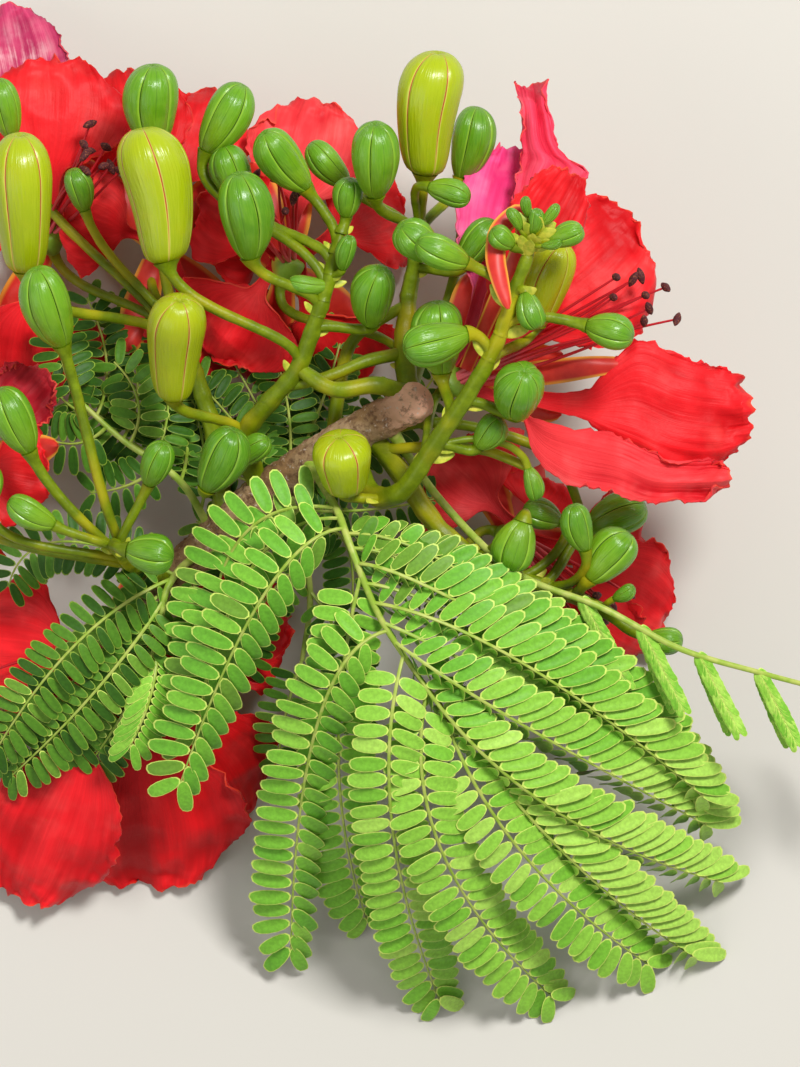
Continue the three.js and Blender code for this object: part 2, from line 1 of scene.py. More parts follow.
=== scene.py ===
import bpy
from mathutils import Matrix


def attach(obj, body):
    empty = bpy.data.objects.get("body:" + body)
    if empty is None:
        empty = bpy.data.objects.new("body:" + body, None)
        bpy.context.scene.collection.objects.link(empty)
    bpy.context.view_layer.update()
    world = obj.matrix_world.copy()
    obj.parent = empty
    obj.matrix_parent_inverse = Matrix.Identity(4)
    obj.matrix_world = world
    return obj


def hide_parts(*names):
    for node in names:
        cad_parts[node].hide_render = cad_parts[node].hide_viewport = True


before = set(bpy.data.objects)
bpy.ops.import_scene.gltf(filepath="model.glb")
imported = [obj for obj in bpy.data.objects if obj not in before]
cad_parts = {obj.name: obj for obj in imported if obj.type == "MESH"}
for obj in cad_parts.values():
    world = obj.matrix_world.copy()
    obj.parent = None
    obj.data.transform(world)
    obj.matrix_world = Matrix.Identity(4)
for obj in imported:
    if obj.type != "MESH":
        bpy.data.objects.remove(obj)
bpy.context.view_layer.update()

from types import SimpleNamespace

import bpy
import numpy as np

# The woody twig: a branch end as thick as a finger, in brown and pinkish bark with cracks and
# knots. It ends in a rounded knob, and its foot is cut square, so that the pale wood shows there.

# Millimetres in the layout of the branch. Its middle, on the ground, is the origin of the frame.
LAYOUT_MIDDLE = np.array([-12.412, 6.678, 0.141])
MILLIMETRES = 1000
UP = np.array([0.0, 0.0, 1.0])
# Steps of a smooth line between two points of its path.
SPAN_STEPS = 24
CURVE_STEPS = 200
RIPPLE_WAVES = 9
# Faces that meet at a sharper turn than this, in degrees, keep their edge.
SMOOTH_ANGLE = 60
TWIG_PATH = [
    [6, 33, 60], [-4, 28, 56], [-18, 20, 49], [-35, 8, 39],
    [-51, -7, 29], [-68, -23, 20], [-88, -39, 12], [-111, -55, 6.5],
]
TWIG_RADIUS_CUT = 6.5
TWIG_RADIUS_TIP = 4.6
TWIG_RINGS = 300
TWIG_SIDES = 64
# The knob: its radius and length, how far its end is rounded and how far it stands past the path.
# Where it is thickest and how far it spreads are shares of its length.
KNOB_RADIUS = 4.9
KNOB_LENGTH = 6.6
KNOB_REACH = 3.8
KNOB_PAST = 1.6
KNOB_MIDDLE = 0.5
KNOB_SPREAD = 0.42
# The relief of the bark, as heights and wavelengths, and how far it fades towards the cut.
RIDGES = [0.16, 9]
FURROWS = [0.26, 4.5]
KNOTS = [0.5, 15]
GRAIN = [0.1, 1.6]
TWIG_RING_HEIGHT = 0.16
CUT_FADE = 1.5


def unit(vectors):
    """Vectors of any number, each divided by its length."""
    return vectors / np.linalg.norm(vectors, axis=-1, keepdims=True)


def shares(count):
    """A column of even steps from 0 to 1."""
    return np.linspace(0, 1, count)[:, None]


def evenly(line, count):
    """The same line as that many points, at even steps of its length."""
    run = np.append(0, np.cumsum(np.linalg.norm(np.diff(line, axis=0), axis=1)))
    places = np.linspace(0, run[-1], count)
    return np.stack([np.interp(places, run, line[:, axis]) for axis in range(3)], axis=1)


def length_of(line):
    """The length of a line of points."""
    return np.linalg.norm(np.diff(line, axis=0), axis=1).sum()


def bent(path, count):
    """A smooth line through a path's points, at even steps of its length. Between two points it is
    the cubic whose slopes come from the neighbours, weighed by the roots of their distances."""
    path = np.asarray(path, float)
    ends = np.vstack([2 * path[0] - path[1], path, 2 * path[-1] - path[-2]])
    gap = np.sqrt(np.linalg.norm(np.diff(ends, axis=0), axis=1))[:, None]
    a, b, c, d = ends[:-3], ends[1:-2], ends[2:-1], ends[3:]
    before, between, after = gap[:-2], gap[1:-1], gap[2:]
    leave = ((b - a) / before - (c - a) / (before + between) + (c - b) / between) * between
    arrive = ((c - b) / between - (d - b) / (between + after) + (d - c) / after) * between
    t = np.linspace(0, 1, SPAN_STEPS, endpoint=False)[None, :, None]
    b, c, leave, arrive = b[:, None], c[:, None], leave[:, None], arrive[:, None]
    ends_part = (2 * t**3 - 3 * t**2 + 1) * b + (3 * t**2 - 2 * t**3) * c
    slopes_part = (t**3 - 2 * t**2 + t) * leave + (t**3 - t**2) * arrive
    line = (ends_part + slopes_part).reshape(-1, 3)
    return evenly(np.vstack([line, path[-1]]), count)


def ripples(places, wavelength, seed):
    """A rolling relief of about -1 to 1 at places: a sum of sine waves whose directions, lengths
    and starts are drawn from the seed, over the root of their number."""
    draw = np.random.default_rng(seed)
    directions = unit(draw.normal(size=(RIPPLE_WAVES, 3)))
    lengths = wavelength * draw.uniform(0.7, 1.5, RIPPLE_WAVES)
    starts = draw.uniform(0, 2 * np.pi, RIPPLE_WAVES)
    waves = np.sin(2 * np.pi * (places @ directions.T) / lengths + starts)
    return waves.sum(-1) / np.sqrt(RIPPLE_WAVES)


def tube_faces(rings, around):
    """Faces and their corners' UV places for rings of points, closed by one point at each end.
    U is the share around and V the share along. A triangle has its last corner twice."""
    sides = len(around) - 1
    i, j = (a.ravel() for a in np.meshgrid(np.arange(rings - 1), np.arange(sides), indexing="ij"))
    k = (j + 1) % sides
    quads = 1 + np.stack([i * sides + j, i * sides + k, (i + 1) * sides + k, (i + 1) * sides + j], -1)
    u = np.stack([around[j], around[j + 1], around[j + 1], around[j]], -1)
    v = np.stack([i, i, i + 1, i + 1], -1) / (rings - 1)
    j = np.arange(sides)
    k = (j + 1) % sides
    last = 1 + (rings - 1) * sides
    foot = np.stack([0 * j, 1 + k, 1 + j, 1 + j], -1)
    tip = np.stack([0 * j + last + sides, last + j, last + k, last + k], -1)
    middle = (around[:-1] + around[1:]) / 2
    foot_u = np.stack([middle, around[1:], around[:-1], around[:-1]], -1)
    tip_u = np.stack([middle, around[:-1], around[1:], around[1:]], -1)
    faces = np.concatenate([quads, foot, tip])
    u = np.concatenate([u, foot_u, tip_u])
    v = np.concatenate([v, np.zeros((sides, 4)), np.ones((sides, 4))])
    return faces, np.stack([u, v], -1)


def shape(points, faces, uv, tint=0.5, finish=0):
    """Points, faces and corner UVs, with a tint for each point and a finish for each face."""
    tints = np.broadcast_to(np.asarray(tint, float), len(points))
    return SimpleNamespace(points=points, faces=faces, uv=uv, tint=tints,
                           finish=np.broadcast_to(finish, len(faces)))


def across_line(line):
    """Unit vectors along a line, and two across it. The first of these stays square to the one
    direction that the line turns about most, so the pair hardly twists."""
    along = unit(np.gradient(line, axis=0))
    turning = np.linalg.eigh(along.T @ along)[1][:, 0]
    side = unit(np.cross(along, turning))
    return along, side, np.cross(along, side)


def tube(line, rings, around, tint=0.5, finish=0):
    """Rings of points as a tube that closes in the first and the last point of its line."""
    points = np.vstack([line[:1], rings.reshape(-1, 3), line[-1:]])
    return shape(points, *tube_faces(len(line), around), tint, finish)


def carried(line, radius, sides, tint=0.5, finish=0):
    """A profile carried along a line. Its point at s and angle a is the line at s plus the radius
    at s and a times the across vectors' cosine and sine mix. Each end closes in the line's end."""
    side, other = across_line(line)[1:]
    around = np.linspace(0, 1, sides + 1)
    angle = 2 * np.pi * around[:-1][None, :, None]
    reach = np.broadcast_to(radius, (len(line), sides))[:, :, None]
    rings = line[:, None] + reach * (np.cos(angle) * side[:, None] + np.sin(angle) * other[:, None])
    if np.ndim(tint) == 1:
        tint = np.concatenate([tint[:1], np.repeat(tint, sides), tint[-1:]])
    return tube(line, rings, around, tint, finish)


def rings_of(made, rings, sides):
    """The points of a carried profile, by ring and by side."""
    return made.points[1:-1].reshape(rings, sides, 3)


def in_scene(name, data):
    """A new object in the scene."""
    made = bpy.data.objects.new(name, data)
    bpy.context.scene.collection.objects.link(made)
    return made


def piece(name, shapes, finishes, nodes):
    """Joins shapes into one mesh in metres, in the frame. It moves with the branch, takes its finish
    from the slot and stands for the nodes."""
    starts = np.cumsum([0] + [len(each.points) for each in shapes[:-1]])
    points = (np.concatenate([each.points for each in shapes]) - LAYOUT_MIDDLE) / MILLIMETRES
    corners = np.concatenate([each.faces + start for each, start in zip(shapes, starts)])
    kept = np.ones(corners.shape, bool)
    kept[:, 3] = corners[:, 2] != corners[:, 3]
    counts = kept.sum(1)
    mesh = bpy.data.meshes.new(name)
    mesh.vertices.add(len(points))
    mesh.vertices.foreach_set("co", points.astype(np.float32).ravel())
    mesh.loops.add(int(counts.sum()))
    mesh.loops.foreach_set("vertex_index", corners[kept].astype(np.int32))
    mesh.polygons.add(len(corners))
    mesh.polygons.foreach_set("loop_start", np.append(0, np.cumsum(counts)[:-1]).astype(np.int32))
    chosen = np.concatenate([each.finish for each in shapes]).astype(np.int32)
    mesh.polygons.foreach_set("material_index", chosen)
    uv = np.concatenate([each.uv for each in shapes])[kept]
    mesh.uv_layers.new(name="Surface").data.foreach_set("uv", uv.astype(np.float32).ravel())
    tints = np.concatenate([each.tint for each in shapes]).astype(np.float32)
    mesh.attributes.new("tint", "FLOAT", "POINT").data.foreach_set("value", tints)
    for finish in finishes:
        mesh.materials.append(finish.material)
    mesh.update(calc_edges=True)
    mesh.validate()
    mesh.shade_smooth()
    mesh.set_sharp_from_angle(angle=np.radians(SMOOTH_ANGLE))
    made = in_scene(name, mesh)
    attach(made, "root")
    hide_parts(*nodes)


def paint(code):
    """A colour written #rrggbb, as the linear light that a shader reads."""
    shares = np.array([int(code[k:k + 2], 16) for k in (1, 3, 5)]) / 255
    linear = np.where(shares > 0.04045, ((shares + 0.055) / 1.055) ** 2.4, shares / 12.92)
    return (*linear, 1.0)


class Value:
    """A number on its way through a material. Arithmetic on it adds Math nodes."""

    def __init__(self, socket):
        self.socket = socket

    def maths(self, operation, *given):
        """The value of one Math node."""
        node = self.socket.id_data.nodes.new("ShaderNodeMath")
        node.operation = operation
        for socket, value in zip(node.inputs, given):
            feed(socket, value)
        return Value(node.outputs[0])

    def __add__(self, other):
        return self.maths("ADD", self, other)

    def __sub__(self, other):
        return self.maths("SUBTRACT", self, other)

    def __mul__(self, other):
        return self.maths("MULTIPLY", self, other)

    def __mod__(self, other):
        return self.maths("FLOORED_MODULO", self, other)

    def __abs__(self):
        return self.maths("ABSOLUTE", self)

    __radd__ = __add__
    __rmul__ = __mul__

    def step(self, start, end):
        """0 below the start, 1 past the end and a smooth rise between."""
        node = self.socket.id_data.nodes.new("ShaderNodeMapRange")
        node.interpolation_type = "SMOOTHSTEP"
        for socket, value in zip(node.inputs, (self, start, end, 0.0, 1.0)):
            feed(socket, value)
        return Value(node.outputs[0])


def feed(socket, value):
    """Links a value to a socket, or sets the socket to a plain number or a colour."""
    if isinstance(value, Value):
        socket.id_data.links.new(value.socket, socket)
    else:
        socket.default_value = paint(value) if isinstance(value, str) else value


class Finish:
    """A material: one Principled shader, with constants on its own sockets."""

    def __init__(self, name, **constants):
        self.material = bpy.data.materials.new(name)
        self.material.use_nodes = True
        self.nodes = self.material.node_tree.nodes
        self.shader = self.nodes["Principled BSDF"]
        for socket, value in constants.items():
            self.set(socket.replace("_", " "), value)

    def set(self, socket, value):
        """Feeds one socket of the shader."""
        feed(self.shader.inputs[socket], value)
        return self

    def node(self, kind, settings, sockets, output=0):
        """Any node: its kind, its settings, then its sockets' values or links."""
        node = self.nodes.new("ShaderNode" + kind)
        for setting, value in settings.items():
            setattr(node, setting, value)
        for socket, value in sockets.items():
            feed(node.inputs[socket], value)
        return Value(node.outputs[output])

    def surface(self):
        """The share across or around the piece and the share along it, from its own UV map."""
        spot = self.node("UVMap", {"uv_map": "Surface"}, {})
        return [self.node("SeparateXYZ", {}, {0: spot}, axis) for axis in (0, 1)]

    def tint(self):
        """The number from 0 to 1 that each point of the piece carries."""
        return self.node("Attribute", {"attribute_name": "tint"}, {}, "Fac")

    def noise(self, scale, detail, roughness=0.55, where=None):
        """Noise at the place on the piece, or at another place."""
        sockets = {"Vector": where or self.node("TexCoord", {}, {}, "Object"), "Scale": scale}
        return self.node("TexNoise", {}, sockets | {"Detail": detail, "Roughness": roughness})

    def mix(self, share, first, second):
        """A colour between two others."""
        return self.node("Mix", {"data_type": "RGBA"}, {0: share, 6: first, 7: second}, 2)

    def bump(self, height, distance):
        """Relief from a height of 0 to 1 that stands for a real distance in metres."""
        sockets = {"Height": height, "Distance": distance, "Strength": 1.0}
        return self.set("Normal", self.node("Bump", {}, sockets))


def mottled(name, first, second, scale, detail, low, high, **constants):
    """A finish in soft patches of two colours: noise that rises from the low to the high value."""
    skin = Finish(name, **constants)
    return skin.set("Base Color", skin.mix(skin.noise(scale, detail).step(low, high), first, second))


def bark_finish():
    """Grey-brown bark with pinkish patches, dark cracks that run along it and pale specks. The knob
    at its end is pinker, and painted lighter too: painted light on a knob that lies in shade."""
    bark = Finish("bark", Roughness=0.85)
    patch = bark.noise(90, 5).step(0.38, 0.62)
    crack = bark.noise(420, 6, 0.7).step(0.34, 0.55)
    speck = bark.noise(900, 3).step(0.6, 0.7)
    brown = bark.mix(patch, "#967246", "#bc9c74")
    knob = bark.surface()[1].step(0.1, 0.04)
    # The knob's own pinker colour, made lighter as painted light, since the knob lies in shade.
    brown = bark.mix(knob * 0.9, brown, "#ffc4a4")
    cracked = bark.mix(crack + knob * 0.35, "#6e4c30", brown)
    bark.set("Base Color", bark.mix(speck * 0.7, cracked, "#dccabb"))
    return bark.bump(bark.noise(700, 8, 0.75) + patch * 0.5, 0.0006)


def cut_wood_finish():
    """Freshly cut wood: pale, with rings round the pith and a browner rim."""
    wood = Finish("cut_wood", Roughness=0.7)
    along = wood.surface()[1]
    ring = abs((along * 7 + wood.noise(60, 2) * 0.8) % 1 - 0.5).step(0.1, 0.45)
    rings = wood.mix(ring, "#c79f6b", "#ead3a4")
    rim = wood.mix(along.step(0.04, 0.16), "#6f7a3c", rings)
    return wood.set("Base Color", wood.mix(along.step(0.9, 0.96), rim, "#8d5f38"))


def twig_shape():
    """The twig with its cut end: a circle carried along the twig's path, its radius growing from tip
    to foot, plus a knob, long ridges less furrows, rings, knots and a fine grain."""
    path = np.array(TWIG_PATH, float)
    path[0] += unit(path[0] - path[1]) * KNOB_PAST
    line = bent(path, TWIG_RINGS)
    run = np.linspace(0, length_of(line), TWIG_RINGS)[:, None]
    smooth_radius = TWIG_RADIUS_TIP + (TWIG_RADIUS_CUT - TWIG_RADIUS_TIP) * run / run[-1]
    bulge = np.exp(-((run / KNOB_LENGTH - KNOB_MIDDLE) / KNOB_SPREAD) ** 2)
    dome = np.sqrt(np.clip(1 - (1 - np.clip(run / KNOB_REACH, 0, 1)) ** 2, 0.0004, 1))
    radius = (smooth_radius + (KNOB_RADIUS - TWIG_RADIUS_TIP) * bulge) * dome
    spot = rings_of(carried(line, radius, TWIG_SIDES), TWIG_RINGS, TWIG_SIDES)
    ridges = RIDGES[0] * ripples(spot, RIDGES[1], 3) - FURROWS[0] * abs(ripples(spot, FURROWS[1], 4))
    rings = TWIG_RING_HEIGHT * np.sin(run * 2.3 + 2 * np.sin(run * 0.31)) ** 6
    knots = KNOTS[0] * np.clip(ripples(spot, KNOTS[1], 9) - 0.7, 0, 1)
    grain = GRAIN[0] * ripples(spot, GRAIN[1], 5)
    fade = np.clip((run[-1] - run) / CUT_FADE, 0, 1)
    radius = radius + (ridges + rings + knots + grain) * dome * (0.3 + 0.7 * fade)
    made = carried(line, radius, TWIG_SIDES)
    made.finish = np.repeat([0, 1], [len(made.faces) - TWIG_SIDES, TWIG_SIDES])
    return made


piece("twig_bark", [twig_shape()], [bark_finish(), cut_wood_finish()], ["twig"])


# The stalks: green stems that stand on the twig, each with the pedicels of its buds. A pedicel
# leaves its stem at a small scale, curves out and swells into the cup that carries the bud.

STEM_PATHS = {
    "centre": [
        [-34, 10, 40], [-38, 23, 48], [-32, 32, 55], [-25, 40, 60],
        [-21, 50, 64], [-18, 59, 66], [-14, 74, 66],
    ],
    "right": [
        [-13, 23, 50], [-7, 10, 58], [0, 10, 68], [8, 21, 76],
        [22, 43, 86], [29, 62, 91], [32, 70, 92],
    ],
    "left": [[-56, -11, 27], [-61, -10, 38], [-66, -7, 50], [-70, -2, 62]],
    "low": [
        [-8, 26, 54], [0, 15, 50], [10, 1, 48], [24, -9, 48],
        [39, -14, 48], [50, -19, 48], [60, -26, 47],
    ],
    "back": [[3, 32, 58], [1, 45, 52], [2, 57, 50], [4, 69, 52], [5, 78, 56]],
    "outer": [[-43, 1, 34], [-45, 20, 34], [-49, 36, 36], [-54, 48, 38], [-60, 57, 40]],
}
# Thin stems that cross from one stem to the next, as their routes and radii.
SIDE_STEMS = {
    "centre": [
        ([[2, 34, 57], [-6, 36, 61], [-16, 35, 62], [-24.8, 40.2, 60]], 2.1),
        ([[1.2, 44, 52.2], [-8, 42, 56], [-18, 38, 59], [-28.8, 35.4, 57]], 1.5),
        ([[-17, 20, 42], [-15, 34, 47], [-11.5, 47, 49], [1.6, 56, 50.2]], 1.6),
    ],
    "low": [
        ([[-4.5, 20.5, 52], [8, 21, 57], [21, 20, 64], [31, 16, 69]], 1.3),
        ([[-7, 24, 53], [6, 27, 52], [22, 25, 53], [38, 18, 50], [45.5, 2, 44.3]], 1.3),
    ],
    "back": [([[2.6, 34, 56], [6, 44, 47], [12, 58, 44], [15, 74, 44.5], [15.1, 86.4, 45.8]], 1.3)],
}
# Buds of each stem: foot, apex and radius.
BUDS = {
    "centre": [
        [[-56.5, 66, 70], [-62.5, 98, 74], 8.5], [[-47, 93, 58], [-38, 109, 62], 5.8],
        [[-38, 81, 60], [-43, 94, 62], 5.2], [[-36, 67, 72], [-39, 87, 80], 6.8],
        [[-23, 84, 64], [-33, 97, 72], 5.5], [[-13, 77, 66], [-12, 86, 70], 3.8],
        [[-14, 64, 70], [-12, 72, 74], 2.5], [[-17, 60, 66], [-27, 61, 68], 2.5],
        [[-7, 51, 62], [-5, 64, 74], 5.5], [[-55, 33.5, 62], [-53, 56.5, 80], 7.2],
        [[-47, 11, 60], [-40, 25, 68], 6], [[-40, 17, 52], [-32, 23, 56], 3.5],
    ],
    "right": [
        [[16, 65, 92], [4, 70, 96], 4.2], [[27, 69, 94], [22, 73, 96], 3],
        [[32, 72, 96], [33, 78, 98], 2], [[36, 70, 95], [44, 73, 97], 3.2],
        [[16, 48, 88], [1, 44, 92], 5.5], [[30, 58, 92], [33, 49, 92], 3.5],
        [[45, 50, 90], [56, 47, 93], 4.5], [[28, 29, 80], [30, 39, 95], 6.2],
        [[33, 51, 66], [39, 70, 78], 6.2], [[19, 21, 74], [24, 28, 78], 4],
        [[31, 16, 70], [33, 8, 68], 2.5], [[10, 39, 70], [9, 56, 76], 6.5],
        [[-13, 10.5, 67], [-14.5, 23.5, 76], 7.2],
        [[29, 73, 96], [26, 78, 97], 1.6], [[31, 76, 95], [30, 81, 96], 1.4],
        [[34, 74, 97], [38, 79, 98], 1.5], [[34, 69, 97], [39, 70, 98], 1.3],
    ],
    "left": [
        [[-82, 46, 66], [-88, 64, 76], 6.2], [[-90, 20, 66], [-97, 35, 72], 5.4],
        [[-61, 12, 64], [-57, 22, 70], 4], [[-84, 2, 64], [-95, 8, 66], 3.8],
        [[-100, 7, 62], [-100, 17, 66], 3.6], [[-66, -4, 70], [-55, -6, 72], 5.2],
    ],
    "low": [
        [[30, 3, 64], [26, -9, 62], 5.5], [[39, 3, 46], [30, 6, 48], 4],
        [[45, -4, 62], [42, 7, 66], 4], [[46, -11, 56], [56, 0, 58], 5.8],
        [[46, 1, 44], [60, 7, 46], 5.5], [[52, -16, 56], [57, -13, 58], 2],
        [[45, -23, 44], [52, -38, 36], 4], [[60, -26, 46], [69, -26, 48], 3.5],
    ],
    "back": [
        [[-13, 85, 54], [-22, 95, 56], 4], [[-6, 82, 70], [-6, 99, 80], 6],
        [[6, 87.5, 62], [9.3, 116.5, 70], 7.9], [[15, 87, 46], [19, 104, 50], 5.5],
        [[7, 84, 68], [17, 81, 70], 3.5], [[8, 67, 80], [0, 74, 86], 5],
        [[15, 65, 56], [23, 76, 60], 4.4],
    ],
    "outer": [
        [[-91, 64, 62], [-92, 96.5, 74], 7.5], [[-95, 97, 40], [-98, 111, 46], 4],
        [[-60, 95, 52], [-60, 114, 58], 7], [[-77, 79, 44], [-80, 89, 48], 3.5],
    ],
}
STEM_RADIUS_FOOT = 2.7
STEM_RADIUS_TIP = 1.5
STEM_RINGS = 90
STEM_SIDES = 20
STEM_RIDGES = 5
# The height of a stem's ridges as a share of its radius, then of its collars and its unevenness.
STEM_RIDGE_SHARE = 0.05
STEM_COLLAR = 0.16
STEM_UNEVEN = 0.12
SIDE_STEM_RINGS = 40
# A pedicel's radius grows with its bud's, up to the most.
PEDICEL_RADIUS_LEAST = 0.4
PEDICEL_RADIUS_SHARE = 0.19
PEDICEL_RADIUS_MOST = 1.3
PEDICEL_BOW = 0.36
PEDICEL_RINGS = 30
PEDICEL_SIDES = 12
# A pedicel leaves its stem below the nearest point, by this share of its distance to the bud, but
# no lower than this share of the stem. The steps are those in which the stem is searched.
PEDICEL_LOWER = 0.45
PEDICEL_LOWEST = 0.2
PEDICEL_STEPS = 60
PEDICEL_FOOT_LENGTH = 1.6
# The cup under a bud: its radius as a share of the bud's, and its length.
CUP_SHARE = 0.42
CUP_LENGTH = 4.0
BRACT_LENGTH = 3.2
BRACT_RINGS = 9
BRACT_SIDES = 10
BRACT_WIDTH_SHARE = 0.3
BRACT_FLATNESS = 0.2
# The stem whose end is still unopened, with longer bracts, and the bracts round that end.
YOUNG_STEM = "right"
YOUNG_BRACT_LENGTH = 5.4
YOUNG_TIP = [32, 71, 94]
YOUNG_TIP_BRACTS = 8
YOUNG_TIP_LENGTH = 6.5
YOUNG_TIP_STEPS = 30
GOLDEN_TURN = 2.4


def bowed(count, *handles):
    """A curve pulled from its first point to its last by the handles between, each point being
    the blend of the handles by Bernstein's weights."""
    t = shares(count)
    rows = [np.broadcast_to(np.asarray(handle, float), (count, 3)) for handle in handles]
    while len(rows) > 1:
        rows = [start + (end - start) * t for start, end in zip(rows, rows[1:])]
    return rows[0]


def pedicel_line(stem, foot, axis):
    """The route of a pedicel: along the stem where it leaves it, then along the bud's axis."""
    line = bent(STEM_PATHS[stem], PEDICEL_STEPS + 1)
    distance = np.linalg.norm(line - foot, axis=1)
    lower = round(PEDICEL_LOWER * distance.min() / (length_of(line) / PEDICEL_STEPS))
    place = int(np.clip(distance.argmin() - lower, PEDICEL_LOWEST * PEDICEL_STEPS, PEDICEL_STEPS))
    along = across_line(line)[0][place]
    handle = PEDICEL_BOW * np.linalg.norm(line[place] - foot)
    return bowed(PEDICEL_RINGS, line[place], line[place] + along * handle, foot - axis * handle, foot)


def bract(foot, direction, outward, length):
    """An oval scale that curls outwards: its half width is the sine of the share along it, and it
    is a fifth as thick as it is wide. Its broad side faces up."""
    share = shares(BRACT_RINGS)
    line = foot + share * length * direction + 0.3 * length * share**2 * outward
    across = unit(np.cross(UP, direction + 0.01))
    around = np.linspace(0, 1, BRACT_SIDES + 1)
    angle = 2 * np.pi * around[:-1][None, :, None]
    swell = (BRACT_WIDTH_SHARE * length * np.sin(np.pi * (0.06 + 0.9 * share)) ** 0.8)[:, :, None]
    flat = BRACT_FLATNESS * np.sin(angle) * np.cross(direction, across)
    rings = line[:, None] + swell * (np.cos(angle) * across + flat)
    return tube(line, rings, around, 1.0, 1)


def pedicel(stem, foot, apex, cup_radius, tint):
    """A pedicel with a swollen foot and a cup at its end, and the bract that it grew behind."""
    foot, apex = np.array(foot, float), np.array(apex, float)
    line = pedicel_line(stem, foot, unit(apex - foot))
    run = np.linspace(0, length_of(line), PEDICEL_RINGS)[:, None]
    thin = min(PEDICEL_RADIUS_MOST, PEDICEL_RADIUS_LEAST + PEDICEL_RADIUS_SHARE * cup_radius / CUP_SHARE)
    radius = thin * (0.92 + 0.16 * np.clip(run / run[-1], 0, 1))
    radius = radius + 0.6 * thin * np.exp(-((run / PEDICEL_FOOT_LENGTH) ** 2))
    flare = np.clip(1 - (run[-1] - run) / CUP_LENGTH, 0, 1) ** 1.7
    radius = radius + (cup_radius - radius) * flare
    spot = rings_of(carried(line, radius, PEDICEL_SIDES), PEDICEL_RINGS, PEDICEL_SIDES)
    radius = radius + 0.05 * ripples(spot, 3, 11)
    along = across_line(line)[0][0]
    outward = unit(np.cross(np.cross(along, line[6] - line[0]), along) + 1e-6)
    length = YOUNG_BRACT_LENGTH if stem == YOUNG_STEM else BRACT_LENGTH
    leaning = unit(along + 0.7 * outward)
    tints = tint + 0.35 * np.clip(run[:, 0] / run[-1, 0], 0, 1) ** 2
    scale = bract(line[0] + 1.2 * outward, leaning, outward, length)
    return [carried(line, radius, PEDICEL_SIDES, tints), scale]


def young_tip():
    """The pointed bracts round the unopened end of the young stem, each turned by the golden angle
    from the last."""
    line = bent(STEM_PATHS[YOUNG_STEM], YOUNG_TIP_STEPS)
    along, side, other = (each[-1] for each in across_line(line))
    shapes = []
    for k in range(YOUNG_TIP_BRACTS):
        spread = np.cos(GOLDEN_TURN * k) * side + np.sin(GOLDEN_TURN * k) * other
        direction = unit(along + (0.3 + 0.14 * k) * spread)
        shapes.append(bract(YOUNG_TIP + 0.6 * spread, direction, spread, YOUNG_TIP_LENGTH - 0.3 * k))
    return shapes


def stem_shape(name):
    """A stem: a circle with faint ridges carried along its path, tapering to its tip, with collars
    that the eighth power of a sine makes narrow, and a little uneven."""
    line = bent(STEM_PATHS[name], STEM_RINGS)
    share = shares(STEM_RINGS)
    angle = STEM_RIDGES * 2 * np.pi * np.linspace(0, 1, STEM_SIDES + 1)[:-1]
    radius = STEM_RADIUS_FOOT + (STEM_RADIUS_TIP - STEM_RADIUS_FOOT) * share
    radius = radius * (1 + STEM_RIDGE_SHARE * np.cos(angle + 3 * share))
    radius = radius + STEM_COLLAR * np.sin(share * 34 + 1.3) ** 8
    spot = rings_of(carried(line, radius, STEM_SIDES), STEM_RINGS, STEM_SIDES)
    closing = np.clip((1 - share) * 24, 0.15, 1) ** 0.5
    radius = (radius + STEM_UNEVEN * ripples(spot, 6, 21)) * closing
    return carried(line, radius, STEM_SIDES, 0.25 + 0.35 * share[:, 0])


def side_stem(path, radius):
    """A thin stem: a circle carried along its path, tapering by a quarter, and faintly knobbly."""
    line = bent(path, SIDE_STEM_RINGS)
    share = shares(SIDE_STEM_RINGS)
    swell = radius * (1.12 - 0.25 * share + 0.04 * np.sin(share * 23 + 1.3))
    return carried(line, swell, PEDICEL_SIDES, 0.2 + 0.3 * share[:, 0])


def stalk_finish():
    """Smooth stalk, olive-yellow at its foot and greener towards the buds, with fine streaks and yellow
    patches that are partly its own flush and partly painted highlight.
    """
    stalk = Finish("stalk", Roughness=0.38, Specular_IOR_Level=0.3)
    streak = stalk.noise(260, 4, 0.6)
    olive = stalk.mix(stalk.tint().step(0.0, 1.0), "#788606", "#86a014")
    shade = stalk.mix(streak.step(0.35, 0.7), "#667a06", olive)
    # Yellow patches: partly the stalk's own flush, partly painted highlight.
    flush_and_highlight = stalk.noise(55, 2).step(0.46, 0.68) * 0.75
    stalk.set("Base Color", stalk.mix(flush_and_highlight, shade, "#beb016"))
    return stalk.bump(stalk.noise(1500, 4), 0.00012)


STALK = stalk_finish()
BRACT = mottled("bract", "#a9bb2c", "#dcd84a", 500, 2, 0.35, 0.65, Roughness=0.5)
for stem, buds in BUDS.items():
    shapes = [stem_shape(stem)]
    for foot, apex, radius in buds:
        shapes += pedicel(stem, foot, apex, CUP_SHARE * radius, 0.35)
    shapes += [side_stem(*each) for each in SIDE_STEMS.get(stem, [])]
    if stem == YOUNG_STEM:
        shapes += young_tip()
    piece(f"stems_{stem}", shapes, [STALK, BRACT], [f"stalks_{stem}"])


# The buds: five sepals that meet edge to edge in seams from foot to apex. Young buds are green
# and glossy. Ripe ones are yellow-green, with a thin red seam between pale yellow edges.

# Buds from the first radius on are nodes of their own, and those from the second on are ripe.
OWN_BUD_RADIUS = 5
RIPE_RADIUS = 7.1
BUD_RINGS = 30
SMALL_BUD_RINGS = 16
BUD_SEED_STEP = 31
BUD_BOW = 0.05
SEPALS = 5
